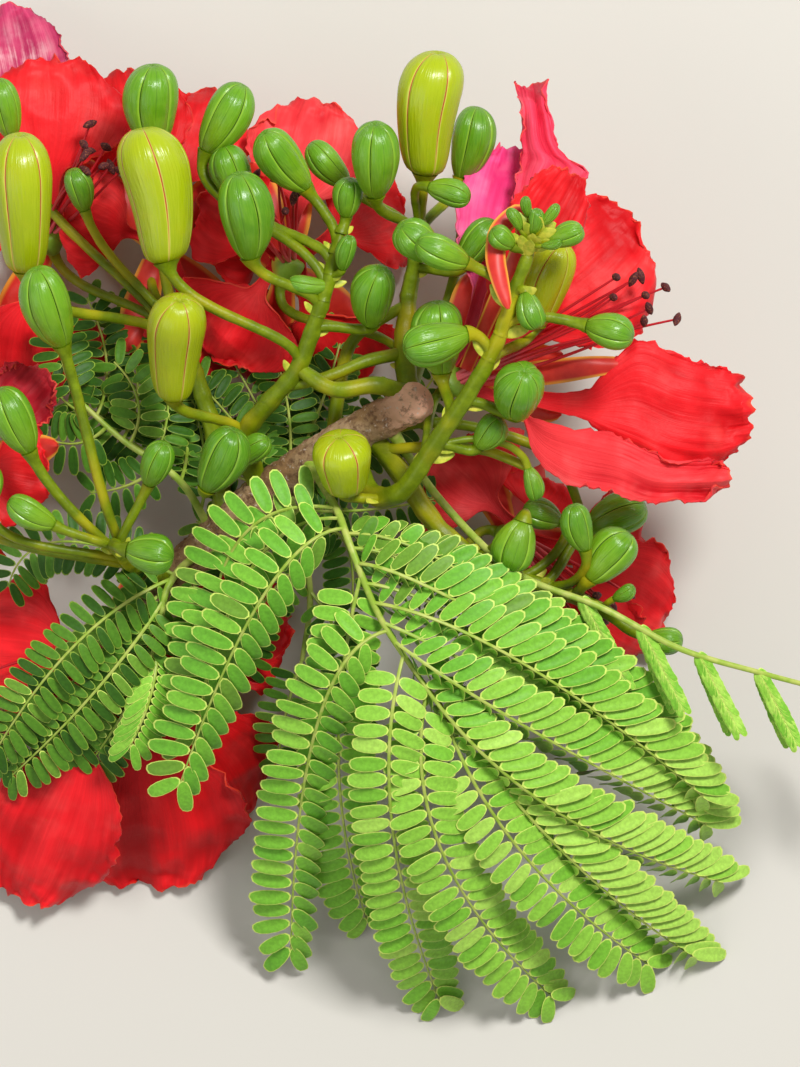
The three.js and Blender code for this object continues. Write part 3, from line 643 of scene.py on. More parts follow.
# Bud outlines from foot to apex, as shares of the radius and of the length. A ripe bud is widest
# above its middle, and its apex is a little sunk.
RIPE_OUTLINE = [
    [0.38, 0], [0.6, 0.045], [0.74, 0.15], [0.86, 0.36], [0.97, 0.6], [1.0, 0.73],
    [0.9, 0.86], [0.6, 0.96], [0.22, 1.0], [0.0, 0.975],
]
GREEN_OUTLINE = [
    [0.36, 0], [0.5, 0.06], [0.74, 0.2], [0.95, 0.44], [1.0, 0.6], [0.92, 0.78],
    [0.66, 0.92], [0.24, 0.995], [0.0, 0.98],
]
# Places across one sepal where the mesh has its lines: close together at the seams.
SEPAL_PLACES = np.array([0, 0.022, 0.055, 0.11, 0.2, 0.31, 0.42, 0.47, 0.5, 0.53, 0.58, 0.69, 0.8,
                         0.89, 0.945, 0.978])
# Depths and heights on a bud are shares of its radius, and widths are shares of a sepal.
SEAM_WIDTH = 0.035
RIPE_SEAM_DEPTH = 0.035
GREEN_SEAM_DEPTH = 0.085
RIPE_LOBES = 0.025
GREEN_LOBES = 0.085
LIP_HEIGHT = 0.02
LIP_PLACE = 0.1
LIP_WIDTH = 0.05
# A green bud also has a vein up the middle of each sepal, so that it looks ribbed like a melon.
VEIN_DEPTH = 0.012
VEIN_WIDTH = 0.04
# Green buds that begin to ripen, as their stem and their place among its green buds.
TURNING = [("right", 8)]
# How far a ripe bud's front sepal is turned aside, in sepals: the seam of the first shows.
RIPE_TURNS = {"centre": [0.4, 0.12], "right": [0.1], "outer": [-0.05], "back": [0.06]}


def carried_upright(line, share, axis, radius, around, turn):
    """A profile carried along a line with every ring square to one axis, so that a dome may close
    flat. The middle of one sepal faces up, turned aside by that share of a sepal. UV runs round the
    rings and along the share."""
    axis = unit(axis)
    side = unit(np.cross(axis, [0.3, 0.5, 0.2] if abs(axis[2]) > 0.5 else UP))
    other = np.cross(axis, side)
    start = np.arctan2(UP @ other, UP @ side) - 2 * np.pi * (0.5 + turn) / SEPALS
    angle = start + 2 * np.pi * around[:-1][None, :, None]
    rings = line[:, None] + radius[:, :, None] * (np.cos(angle) * side + np.sin(angle) * other)
    made = tube(line, rings, around)
    rows = np.round(made.uv[:, :, 1] * (len(line) - 1)).astype(int)
    made.uv[:, :, 1] = share[rows, 0]
    return made


def bud(foot, apex, radius, seed, tint, turn):
    """A bud on its axis. The radius is the outline's, swollen between the seams, less a groove at
    each seam that falls off with the square of the distance, and the axis bows a little."""
    foot, apex = np.array(foot, float), np.array(apex, float)
    draw = np.random.default_rng(seed)
    ripe = radius >= RIPE_RADIUS
    rings = BUD_RINGS if radius >= OWN_BUD_RADIUS else SMALL_BUD_RINGS
    stretch = np.array([1, 2.2])
    outline = np.array(RIPE_OUTLINE if ripe else GREEN_OUTLINE) * stretch
    profile = bent(np.insert(outline, 2, 0, axis=1), rings)[:, :2] / stretch
    across, share = profile[:, :1], np.clip(profile[:, 1:], 0, 1)
    around = np.append((np.arange(SEPALS)[:, None] + SEPAL_PLACES).ravel() / SEPALS, 1.0)
    seam = abs((around[:-1] * SEPALS + 0.5) % 1 - 0.5)
    depth, lobes = (RIPE_SEAM_DEPTH, RIPE_LOBES) if ripe else (GREEN_SEAM_DEPTH, GREEN_LOBES)
    groove = depth * np.exp(-((seam / SEAM_WIDTH) ** 2)) * (0.35 + 0.65 * share**0.5)
    lip = LIP_HEIGHT * np.exp(-(((seam - LIP_PLACE) / LIP_WIDTH) ** 2))
    swelling = lobes * np.sin(np.pi * seam) ** 2
    if not ripe:
        vein = VEIN_DEPTH * np.exp(-(((0.5 - seam) / VEIN_WIDTH) ** 2))
        groove = groove + vein * np.sin(np.pi * share) ** 0.5
        swelling = swelling + 0.3 * lobes * np.sin(2 * np.pi * seam) ** 2
    uneven = 1 + 0.025 * np.sin(2 * np.pi * around[:-1] + draw.uniform(0, 6))
    sweep = radius * across * (1 - groove + lip + swelling - lobes) * uneven
    axis = apex - foot
    sideways = unit(np.cross(axis, draw.normal(size=3)))
    line = foot + share * axis + BUD_BOW * np.linalg.norm(axis) * np.sin(np.pi * share) * sideways
    turn = draw.uniform(-0.4, 0.4) if turn is None else turn
    made = carried_upright(line, share, axis, sweep, around, turn)
    made.tint = np.full(len(made.points), tint)
    return made


def bud_finish(name, low, high, deep, seam_edge, seam_line, edge_width, streak_colour, vein):
    """A bud's skin: it changes from foot to apex and has fine lengthwise streaks. Along each seam
    runs a band of the edge colour with a thin wavering line in it, faint near the foot. The vein is
    how strongly the same line shows up the middle of a sepal."""
    skin = Finish(name, Roughness=0.27, Specular_IOR_Level=0.5, Coat_Weight=0.1, Coat_Roughness=0.18)
    around, along = skin.surface()
    seam = abs((around * SEPALS + 0.5) % 1 - 0.5)
    waver = (skin.noise(260, 3) - 0.5) * 0.06
    body = skin.mix(along.step(0.0, 0.9), low, high)
    body = skin.mix(skin.tint(), body, deep)
    sheet = skin.node("CombineXYZ", {}, {0: around * 90, 1: along * 5})
    streaks = skin.noise(1.0, 3, 0.5, sheet).step(0.35, 0.75)
    body = skin.mix(streaks * 0.35, body, streak_colour)
    body = skin.mix(skin.noise(130, 3).step(0.45, 0.7) * 0.4, body, deep)
    edge = (seam + waver * 0.6).step(edge_width, edge_width * 0.3)
    body = skin.mix(edge * 0.8, body, seam_edge)
    line = (seam + waver * 0.25).step(0.021, 0.008) * (0.35 + 0.65 * along.step(0.05, 0.5))
    if vein:
        line = line + (seam + waver * 0.3).step(0.482, 0.494) * along.step(0.1, 0.5) * vein
    skin.set("Base Color", skin.mix(line, body, seam_line))
    return skin.bump(streaks * 0.5 + skin.noise(1200, 3) * 0.3 - line * 0.8, 0.00015)


GREEN_BUD = bud_finish("green_bud", "#8cb01c", "#70aa1c", "#4c8810",
                       "#9cc63a", "#34601a", 0.09, "#90c036", 0.3)
RIPE_BUD = bud_finish("ripe_bud", "#98ac06", "#aabf0c", "#b4b808",
                      "#e0d860", "#cc4434", 0.055, "#bccb1e", 0)
for stem, buds in BUDS.items():
    numbers = np.cumsum([radius >= OWN_BUD_RADIUS for foot, apex, radius in buds])
    for title, finish in (("green", GREEN_BUD), ("ripe", RIPE_BUD)):
        chosen = [k for k, each in enumerate(buds) if (each[2] >= RIPE_RADIUS) == (title == "ripe")]
        turns = RIPE_TURNS.get(stem, []) if title == "ripe" else [None] * len(chosen)
        shapes = []
        for k, (place, turn) in enumerate(zip(chosen, turns)):
            made = bud(*buds[place], BUD_SEED_STEP * len(stem) + k, 0.15 + 0.6 * ((k * 0.37) % 1), turn)
            if title == "green" and (stem, k) in TURNING:
                made.finish = made.finish + 1
            shapes.append(made)
        nodes = [f"bud_{stem}_{numbers[k]}" for k in chosen if buds[k][2] >= OWN_BUD_RADIUS]
        if shapes:
            piece(f"{title}_buds_{stem}", shapes, [finish, RIPE_BUD], nodes)


# The leaves: each is a midrib with pinnae to both sides, and each pinna a thin rib with pairs of
# small oblong leaflets. They are soft and thin, brighter above, with a pale edge all round.

# Each leaf: the path of its midrib, then foot, middle and tip of each pinna, with its green as a
# place in LEAF_GREENS and its style. Between is the places after which a pinna of the row behind
# shows. Leaflet is the length and the width of a leaflet, and the pitch of the pairs.
LEAVES = {
    "main": {
        "midrib": [
            [-22, 17, 50], [-19, 12, 58], [-15, 5, 67], [-12, -3, 72],
            [-5, -20, 70], [4, -34, 64], [10, -42, 60],
        ],
        "pinnae": [
            [[-16, 6, 66], [-40, -3, 64], [-47, -41, 40]], [[-14, 1, 70], [-33, -15, 72], [-54, -62, 42]],
            [[-4, -24, 69], [-20, -46, 62], [-27, -104, 8]], [[-10, -10, 71], [-15, -55, 51], [-8, -96, 4]],
            [[0, -30, 66], [-2, -70, 56], [10, -116, 1]], [[6, -38, 62], [10, -77, 52], [38, -115, 1]],
            [[10, -42, 60], [29, -77, 47], [62, -107, 4]], [[7, -38, 62], [39, -77, 42], [73, -105, 1]],
            [[3, -32, 65], [34, -65, 54], [79, -86, 11]], [[-1, -26, 68], [29, -46, 63], [76, -72, 22]],
            [[-7, -17, 71], [29, -31, 69], [75, -65, 34]], [[-10, -7, 72], [15, -17, 74], [63, -46, 46]],
            [[-13, 0, 71], [9, -6, 72], [36, -26, 60]],
        ],
        # Painted shade: the last pinnae, near the midrib's top, lie in shade and take darker greens.
        "greens": [3, 3, 4, 4, 5, 5, 5, 5, 4, 4, 3, 2, 2],
        "styles": ["tilted"] * 3 + ["drooping"] * 4 + ["shingled"] * 5 + ["edge_on"],
        "between": [0, 9, 10, 11],
        "leaflet": [9.9, 4.3, 4.6],
    },
    "left": {
        "midrib": [[-49, -5, 30], [-54, -9, 44], [-57, -14, 48], [-59, -26, 46], [-61, -38, 40]],
        "pinnae": [
            [[-56, -11, 46], [-78, -26, 51], [-99, -53, 33]],
            [[-57, -16, 48], [-74, -38, 46], [-96, -60, 26]],
            [[-59, -22, 47], [-66, -41, 41], [-80, -61, 19]],
            [[-60, -29, 45], [-61, -40, 47], [-66, -52, 42]],
            [[-56, -10, 45], [-83, -2, 46], [-96, -13, 34]],
            [[-55, -10, 44], [-49, -16, 42], [-48, -36, 34]],
        ],
        # Painted shade: the darker greens are for pinnae that lie in shade.
        "greens": [1, 1, 1, 4, 0, 0],
        "styles": ["open", "open", "open", "closed", "open", "open"],
        "between": [0, 1],
        "leaflet": [8.6, 2.9, 3.0],
    },
    "back": {
        "midrib": [[-28, 13, 44], [-24, -2, 44], [-22, -16, 38], [-24, -31, 30]],
        "pinnae": [
            [[-24, -8, 42], [-34, -18, 36], [-38, -34, 24]],
            [[-23, -14, 39], [-14, -28, 38], [-10, -46, 28]],
            [[-24, -31, 30], [-28, -44, 24], [-30, -56, 14]], [[-27, 11, 44], [-37, 23, 36], [-52, 40, 26]],
            [[-28, 13, 44], [-27, 27, 36], [-31, 46, 28]], [[-27, 9, 44], [-12, 19, 34], [-2, 34, 26]],
            [[-27, 10, 44], [-40, 14, 34], [-58, 22, 24]], [[-26, 2, 44], [-36, -1, 38], [-50, 3, 30]],
            [[-28, 13, 44], [-20, 30, 30], [-14, 50, 22]], [[-24, 0, 43], [-13, -3, 36], [-13, -27, 28]],
            [[-25, 6, 44], [-6, 6, 34], [14, 10, 24]], [[-26, 10, 44], [-2, 26, 32], [12, 46, 20]],
        ],
        # Painted shade: this leaf lies in shade behind the others and takes the darkest greens.
        "greens": [0, 0, 1, 0, 0, 0, 0, 1, 0, 0, 0, 0],
        "styles": ["open"] * 12,
        "between": [3, 4, 5, 7],
        "leaflet": [7.4, 2.7, 3.0],
    },
    "small": {
        "midrib": [[-45, -2, 32], [-54, 13, 40], [-68, 23, 42], [-78, 32, 42]],
        "pinnae": [
            [[-59, 17, 41], [-66, 12, 40], [-76, 10, 34]], [[-66, 22, 42], [-64, 32, 42], [-70, 42, 38]],
            [[-72, 26, 42], [-79, 22, 40], [-88, 24, 34]], [[-78, 32, 42], [-82, 40, 40], [-84, 50, 34]],
            [[-50, 5, 36], [-48, 20, 32], [-53, 38, 26]], [[-60, 19, 42], [-57, 34, 32], [-63, 52, 26]],
            [[-74, 29, 42], [-72, 42, 32], [-77, 58, 24]],
        ],
        # Painted shade: this leaf lies in shade behind the others and takes the darkest greens.
        "greens": [0, 1, 0, 0, 0, 0, 0],
        "styles": ["open"] * 7,
        "between": [0, 1, 2, 4, 5],
        "leaflet": [7.6, 2.8, 2.9],
    },
}
# How the two rows of a pinna stand, that on its right first, seen from its foot and from above: how
# far a leaflet leans forward and how far it hangs, as slopes, then what its pitch and its length
# are multiplied by, how much the first leaflets are smaller, and how many half pitches from the
# rib's foot they stand.
STYLES = {
    "open": [[0.25, 0.25], [0.1, 0.1], 1.0, 1.0, 0.4, 3],
    "tilted": [[0.1, 1.1], [0.0, 0.6], 1.0, 1.13, 0.4, 3],
    "drooping": [[0.15, 0.55], [0.0, 0.25], 0.92, 1.04, 0.4, 3],
    "shingled": [[0.9, 0.8], [3.4, -0.2], 0.84, 1.38, 1.0, 1],
    "edge_on": [[0.9, 0.9], [3.4, 1.1], 0.84, 1.2, 1.0, 1],
    "closed": [[1.3, 0.4], [0.2, 0.6], 0.6, 1.0, 0.4, 3],
}
# What a pinna of the row behind is lower than the middle between two in front: its foot, middle
# and tip.
ROW_BEHIND = [[0, 0, 0], [0, 0, 5], [0, 0, 2]]
MIDRIB_RADIUS_FOOT = 1.1
MIDRIB_RADIUS_TIP = 0.6
MIDRIB_JOINT = 0.9
MIDRIB_RINGS = 70
MIDRIB_SIDES = 12
PINNA_RIB_FOOT = 0.48
PINNA_RIB_TIP = 0.22
PINNA_RIB_SIDES = 6
# How many greens the leaflets of a shingled pinna brighten from its foot to its tip: painted light,
# since the feet near the midrib lie in shade and the tips in light.
SHINGLE_PAINTED_LIGHT = 2.6
# How far leaflets turn to face up towards the tip of a pinna that droops.
FACING_UP = 0.8
LEAFLET_THICKNESS = 0.36
LEAFLET_SIDES = 14
# Rings of a leaflet from its underside's middle, over its rim, to its upper side's middle: the
# share of its size, and the share of its thickness above or below the rim.
LEAFLET_RINGS = [[0.62, -0.42], [1.0, 0.0], [0.92, 0.3], [0.5, 0.5]]
GROUND_CLEARANCE = 0.3
# The greens from dark to bright, partly the leaves' own and partly painted shade and light: leaves
# and pinnae that lie in shade take the darker ones. Then the edges' colours, of which the second
# goes with the greens from PALE_EDGE_FROM on, while the first, darker one is painted shade on the
# rims of shaded leaflets; and then the underside. They are the finishes of a leaflet, in this order.
LEAF_GREENS = ["#386616", "#5a8e24", "#74a432", "#74bc34", "#84c83a", "#98d446", "#b4e45c"]
LEAF_EDGES = ["#92b03c", "#d8ee70"]
LEAF_UNDERSIDE = "#7fae5a"
PALE_EDGE_FROM = 2


def leaflet_form():
    """One leaflet on unit sizes, as points, faces, UVs and the zone of each face. Its outline is a
    rounded oblong: a circle's cosine and sine with their sizes raised to powers under one, narrowed
    at the foot. The zones are 0 underside, 1 edge, 2 upper side."""
    around = np.linspace(0, 1, LEAFLET_SIDES + 1)
    angle = 2 * np.pi * around[:-1]
    x = np.sign(np.cos(angle)) * abs(np.cos(angle)) ** 0.92
    y = np.sign(np.sin(angle)) * abs(np.sin(angle)) ** 0.8 * (0.94 + 0.06 * x)
    rings = [np.stack([0.5 + 0.5 * x * size, 0.5 * y * size, 0 * x + rise], -1)
             for size, rise in LEAFLET_RINGS]
    points = np.vstack([[[0.5, 0, -0.5]], *rings, [[0.5, 0, 0.42]]])
    faces, uv = tube_faces(len(rings), around)
    zones = np.repeat([0, 1, 2, 0, 2], LEAFLET_SIDES)
    return points, faces, uv, zones


def leaflets(feet, directions, normals, lengths, widths, greens):
    """Leaflets as one shape. Each point is its foot, plus its place along the leaflet's direction,
    across it and along its normal. The two halves lift from the middle, and the tip droops."""
    points, faces, uv, zones = leaflet_form()
    directions = unit(directions)
    sides = unit(np.cross(normals, directions))
    normals = np.cross(directions, sides)
    along = points[:, 0] * lengths[:, None]
    across = points[:, 1] * widths[:, None]
    lift = points[:, 2] * LEAFLET_THICKNESS + 0.2 * abs(across) - 0.1 * lengths[:, None] * points[:, 0] ** 2
    placed = (feet[:, None] + along[:, :, None] * directions[:, None]
              + across[:, :, None] * sides[:, None] + lift[:, :, None] * normals[:, None])
    placed[:, :, 2] += np.clip(GROUND_CLEARANCE - placed[:, :, 2].min(1), 0, None)[:, None]
    count = len(feet)
    all_faces = (faces + len(points) * np.arange(count)[:, None, None]).reshape(-1, 4)
    edges = len(LEAF_GREENS) + (greens >= PALE_EDGE_FROM)
    finish = np.where(zones == 1, edges[:, None], greens[:, None])
    finish = np.where(zones == 0, len(LEAF_GREENS) + len(LEAF_EDGES), finish)
    return shape(placed.reshape(-1, 3), all_faces, np.tile(uv, (count, 1, 1)), 0.5, finish.ravel())


def pinna(foot, middle, tip, green, style, size, seed):
    """A pinna's rib and its leaflets. The rib is the bow through foot, middle and tip. Leaflets
    stand in pairs at an even pitch, longest in the middle, and turn forward towards the tip."""
    fine = bowed(CURVE_STEPS, foot, 2 * middle - foot / 2 - tip / 2, tip)
    (leans, hangs, packing, stretch, shrink, first), (long, wide, pitch) = STYLES[style], size
    pairs = max(4, round(length_of(fine) / (pitch * packing)))
    line = evenly(fine, 2 * pairs + 1)
    share = shares(len(line))
    rib_radius = PINNA_RIB_FOOT + (PINNA_RIB_TIP - PINNA_RIB_FOOT) * share
    rib = carried(line, rib_radius, PINNA_RIB_SIDES, 0.7, 1)
    stations = np.arange(first, len(line), 2)
    count = 2 * len(stations)
    share = np.repeat(share[stations, 0], 2)
    side = np.tile([-1.0, 1.0], len(stations))
    hang = np.tile(hangs, len(stations)) * (1 - 0.5 * share**6)
    along = np.repeat(across_line(line)[0][stations], 2, axis=0)
    across = unit(np.cross(UP, along)) * side[:, None]
    normal = unit(np.cross(along, across * side[:, None]))
    normal = unit(normal + FACING_UP * share[:, None] ** 2 * UP)
    draw = np.random.default_rng(seed)
    forward = np.tile(leans, len(stations)) * (0.6 + 0.8 * share) + draw.normal(0, 0.06, count)
    forward = forward + 1.3 * np.clip((share - 0.78) / 0.22, 0, 1) ** 2
    rise = draw.normal(0, 0.06, count) - 0.08 - hang
    direction = across + forward[:, None] * unit(along * [1, 1, 0.7]) + rise[:, None] * normal
    roll = draw.normal(0, 0.09, count) - 0.12 - 0.14 * (packing < 0.9)
    normal = normal + roll[:, None] * along
    long = long * stretch
    reach = long * np.sin(np.pi * (0.2 + 0.5 * share)) ** shrink * draw.uniform(0.93, 1.05, count)
    width = wide * (reach / long) ** 0.5 * draw.uniform(0.93, 1.06, count)
    feet = np.repeat(line[stations], 2, axis=0) + across * 0.35
    # Painted light: shingled leaflets brighten towards their lit tips.
    painted_light = np.round(SHINGLE_PAINTED_LIGHT * share) * (style == "shingled")
    shades = green + painted_light.astype(int) + draw.choice([-1, 0, 0, 0, 1], count)
    shades = np.clip(shades, 0, len(LEAF_GREENS) - 1)
    return rib, leaflets(feet, direction, normal, reach, width, shades)


def leaf_finish(name, code):
    """Leaf skin in one green, faintly mottled with the same green a fifth darker."""
    colour = paint(code)
    darker = (*(0.8 * np.array(colour[:3])), 1.0)
    return mottled(name, darker, colour, 1100, 3, 0.3, 0.7, Roughness=0.5, Specular_IOR_Level=0.25)


def midrib_shape(path):
    """A midrib: a circle carried along its path, tapering, with a thick joint at its foot."""
    share = shares(MIDRIB_RINGS)
    radius = MIDRIB_RADIUS_FOOT + (MIDRIB_RADIUS_TIP - MIDRIB_RADIUS_FOOT) * share
    radius = radius + MIDRIB_JOINT * np.exp(-((share / 0.06) ** 2))
    return carried(bent(path, MIDRIB_RINGS), radius, MIDRIB_SIDES, 0.55, 1)


RIB = mottled("rib", "#98b838", "#bcc860", 300, 2, 0.35, 0.65, Roughness=0.5)
LEAF_FINISHES = [leaf_finish(f"leaf_green_{k}", code) for k, code in enumerate(LEAF_GREENS)]
LEAF_FINISHES += [leaf_finish(f"leaf_edge_{k}", code) for k, code in enumerate(LEAF_EDGES)]
LEAF_FINISHES.append(leaf_finish("leaf_underside", LEAF_UNDERSIDE))
for name, plan in LEAVES.items():
    curve = bent(plan["midrib"], CURVE_STEPS)
    ribs = [midrib_shape(plan["midrib"])]
    blades = []
    pinnae = np.array(plan["pinnae"], float)
    rows = list(zip(pinnae, plan["greens"], plan["styles"]))
    # Pinnae of the row behind show between those in front.
    rows += [((pinnae[k] + pinnae[k + 1]) / 2 - ROW_BEHIND, plan["greens"][k], plan["styles"][k])
             for k in plan["between"]]
    for count, ((foot, middle, tip), green, style) in enumerate(rows):
        seat = curve[np.linalg.norm(curve - foot, axis=1).argmin()]
        tip[2] = max(tip[2], GROUND_CLEARANCE)
        seed = 100 * len(name) + count
        rib, blade = pinna(seat, middle, tip, green, style, plan["leaflet"], seed)
        ribs.append(rib)
        blades.append(blade)
    piece(f"leaf_ribs_{name}", ribs, [STALK, RIB], [f"leaf_{name}"])
    piece(f"leaflets_{name}", blades, LEAF_FINISHES, [f"leaf_{name}"])


# The young leaf: its pinnae are still folded, their leaflets laid forward on each other, and hang
# in pairs from a long thin midrib.

YOUNG_MIDRIB = [
    [-4, 28, 57], [10, 8, 44], [29, -10, 56], [49, -18, 60],
    [68, -28, 58], [88, -34, 52], [107, -39, 44],
]
# The pairs of pinnae: the first one's place and the step, as shares of the midrib, how the pinnae
# point and how far the two of a pair stand apart, and how much each is shorter than the last.
YOUNG_PAIRS = 5
YOUNG_FIRST = 0.52
YOUNG_STEP = 0.11
YOUNG_DIRECTION = unit(np.array([9.0, -19.0, -8.0]))
YOUNG_SPREAD = np.array([0.03, 0.015, 0.14])
YOUNG_PINNA_LENGTH = 24
YOUNG_SHORTER = 1.2
YOUNG_PITCH = 1.2
YOUNG_LEAFLET = 4.8
YOUNG_LEAFLET_WIDTH = 1.9
YOUNG_GREENS = [4, 5, 5, 6]


def folded_pinna(foot, direction, length, seed):
    """A folded pinna: a rib that droops towards its tip, and pairs of leaflets laid along it, whose
    tips stand out a little at its sides like the teeth of a comb."""
    across = unit(np.cross(UP, direction))
    up = np.cross(direction, across)
    share = shares(round(length / YOUNG_PITCH) + 1)
    line = foot + share * length * direction + 0.08 * length * share**2 * up
    rib = carried(line, 0.5 - 0.2 * share, PINNA_RIB_SIDES, 0.8, 1)
    along = np.repeat(across_line(line)[0][1:], 2, axis=0)
    side = np.tile([1.0, -1.0], len(line) - 1)[:, None]
    share = np.repeat(share[1:, 0], 2)
    draw = np.random.default_rng(seed)
    aside = 0.34 + draw.normal(0, 0.03, len(share))
    directions = along + side * across * aside[:, None] + 0.05 * up
    normals = up + side * across * 0.45
    lengths = YOUNG_LEAFLET * np.sin(np.pi * (0.2 + 0.62 * share)) ** 0.5
    feet = np.repeat(line[1:], 2, axis=0) - along * 2.2 + side * across * 0.3
    widths = np.full(len(share), YOUNG_LEAFLET_WIDTH)
    greens = draw.choice(YOUNG_GREENS, len(share))
    return rib, leaflets(feet, directions, normals, lengths, widths, greens)


young_line = bent(YOUNG_MIDRIB, CURVE_STEPS)
ribs = [midrib_shape(YOUNG_MIDRIB)]
blades = []
for pair in range(YOUNG_PAIRS):
    seat = young_line[round((YOUNG_FIRST + pair * YOUNG_STEP) * (CURVE_STEPS - 1))]
    length = YOUNG_PINNA_LENGTH - YOUNG_SHORTER * pair
    for side in (1, -1):
        direction = unit(YOUNG_DIRECTION + side * YOUNG_SPREAD)
        rib, blade = folded_pinna(seat, direction, length, 40 + pair * 2 + side)
        ribs.append(rib)
        blades.append(blade)
piece("leaf_ribs_young", ribs, [STALK, RIB], ["leaf_young"])
piece("leaflets_young", blades, LEAF_FINISHES, ["leaf_young"])


# The flowers: a green cup with five bent-back sepals, five clawed petals that are crumpled like
# silk and frilled at the margin, and ten red stamens with dark anthers.

# Each flower: its stem, its cup, and the tip, the width and the finish of each petal, as a place in
# PETAL_FINISHES. Outlines are for petals that aren't fans. The brush of stamens points at a place,
# with a reach and a spread. Sepals are the tips of those that show, and the lip is a fold, written
# like a petal, that stands up in front of the strap.
FLOWERS = {
    "right": {
        "stem": "right", "cup": [15, 38, 58], "brush": [66, 60, 80, 54, 0.17],
        "petals": [[32, 112, 44, 20, 1], [28, 96, 40, 18, 3], [58, 78, 58, 38, 0], [87, 31, 60, 36, 0],
                   [81, 14, 68, 26, 4]],
        "outlines": {0: "strap", 3: "long_claw", 4: "lobe"}, "lip": [43, 89, 68, 17, 0],
        "sepals": [[52, 41, 76]],
    },
    "top_left": {
        "stem": "outer", "cup": [-87, 75, 26], "brush": [-66, 102, 50, 30, 0.3],
        "petals": [[-98, 131, 10, 23, 5], [-85, 118, 26, 36, 0], [-71, 111, 14, 30, 2],
                   [-116, 69, 14, 34, 0], [-90, 32, 14, 32, 0]],
    },
    "top": {
        "stem": "outer", "cup": [-59, 73, 24], "brush": [-58, 86, 60, 26, 0.3],
        "petals": [[-70, 115, 14, 28, 2], [-49, 111, 12, 28, 0], [-33, 76, 20, 28, 2], [-43, 38, 20, 34, 0],
                   [-83, 79, 34, 24, 0]],
    },
    "middle": {
        "stem": "back", "cup": [-27, 68, 30], "brush": [-32, 84, 60, 34, 0.3],
        "petals": [[-19, 108, 20, 28, 4], [-46, 42, 26, 32, 0], [-17, 33, 12, 36, 2], [0, 86, 3, 30, 2],
                   [-49, 83, 40, 24, 0]],
    },
    "lower_left": {
        "stem": "left", "cup": [-67, -30, 30], "brush": [-95, -42, 24, 40, 0.3],
        "petals": [[-42, -73, 1, 38, 2], [-60, -89, 1, 44, 2], [-94, -92, 5, 31, 0], [-106, -26, 18, 32, 0],
                   [-27, -18, 12, 32, 2]],
    },
    "left": {
        "stem": "left", "cup": [-109, 19, 44], "brush": [-126, 26, 60, 40, 0.3],
        "petals": [[-86, 41, 46, 17, 6], [-84, 13, 48, 24, 2], [-124, 47, 20, 32, 0], [-132, 15, 12, 34, 0],
                   [-117, -7, 10, 32, 2]],
    },
    "low_right": {
        "stem": "low", "cup": [30, -2, 28], "brush": [50, -22, 44, 32, 0.3],
        "petals": [[65, -26, 6, 34, 0], [46, -38, 1, 36, 0], [62, -7, 8, 34, 0], [9, 20, 22, 32, 4],
                   [39, 13, 20, 32, 0]],
    },
}
# Petal outlines from foot to tip: the share of the length, then how far the margin on the left and
# the one on the right stand from the middle, as shares of half the width, and last how much the
# tip is rounded. A margin below 0 lies on the other side of the middle.
OUTLINES = {
    "fan": ([[0, 0.1, 0.1], [0.2, 0.07, 0.07], [0.31, 0.12, 0.12], [0.4, 0.48, 0.48], [0.54, 0.86, 0.86],
             [0.72, 1.0, 1.0], [0.88, 0.92, 0.92], [1.0, 0.7, 0.7]], 0.36),
    "strap": ([[0, 0.14, 0.14], [0.3, 0.05, 0.2], [0.45, -0.1, 0.8], [0.58, -0.18, 1.45],
               [0.66, -0.14, 1.5], [0.715, -0.12, 1.7], [0.75, -0.1, 1.2], [0.8, -0.04, 0.88],
               [0.9, 0.12, 0.6], [1.0, 0.38, 0.4]], 0.06),
    "long_claw": ([[0, 0.08, 0.08], [0.3, -0.03, 0.24], [0.4, 0.03, 0.32], [0.46, 0.18, 0.42],
                   [0.53, 0.5, 0.58], [0.6, 0.68, 0.7], [0.74, 0.56, 0.85], [0.88, 0.48, 0.82],
                   [1.0, 0.42, 0.62]], 0.2),
    "lobe": ([[0, 0.1, 0.1], [0.2, 0.03, 0.12], [0.26, -0.14, 0.3], [0.3, -0.13, 0.58], [0.37, -0.1, 0.84],
              [0.5, 0.04, 1.0], [0.62, 0.05, 0.9], [0.74, -0.02, 0.9], [0.86, 0.06, 0.7],
              [0.94, 0.2, 0.58], [1.0, 0.18, 0.3]], 0.06),
}
# The share of a petal that is its claw, how far from the cup's middle it is seated, how much wider
# it is than its plan says, since it is crumpled, and how deep its margin is torn.
PETAL_CLAW_SHARE = 0.3
PETAL_SEAT = 2.4
PETAL_FULLNESS = 1.2
PETAL_TEETH = 1.5
PETAL_THICKNESS = 0.4
PETAL_ROWS = 60
PETAL_COLUMNS = 47
# How high a petal arches as a share of its length and waves as a share of its width, then the
# heights of its relief.
PETAL_ARCH = 0.1
PETAL_RUFFLE = 0.06
PETAL_FOLD = 1.3
PETAL_CREASE = 1.2
PETAL_FINE_CREASE = 0.35
PETAL_PLEAT = 0.16
PETAL_FINE_PLEAT = 0.14
PETAL_FRILL = 1.7
PETAL_FINE_FRILL = 0.6
PETAL_GUTTER = 0.8
LIP_SEED = 77
LIP_ORDER = 2
# The sepal that curls over in front of the right stem: its route from the cup, and its width.
CURLED_SEPAL = [[16, 40, 62], [24, 58, 78], [30, 72, 86], [29, 77, 90], [24, 73, 92.5], [22.9, 67, 93.5],
                [24, 61, 94.5], [26, 54, 95]]
CURLED_SEPAL_WIDTH = 5.5
CURLED_SEPAL_ROWS = 60
CURLED_SEPAL_COLUMNS = 11
SEPAL_THICKNESS = 0.7
SEPAL_ROWS = 26
SEPAL_COLUMNS = 13
SEPAL_LENGTH = 25
SEPAL_WIDTH = 9
FRONT_SEPAL_WIDTH = 6
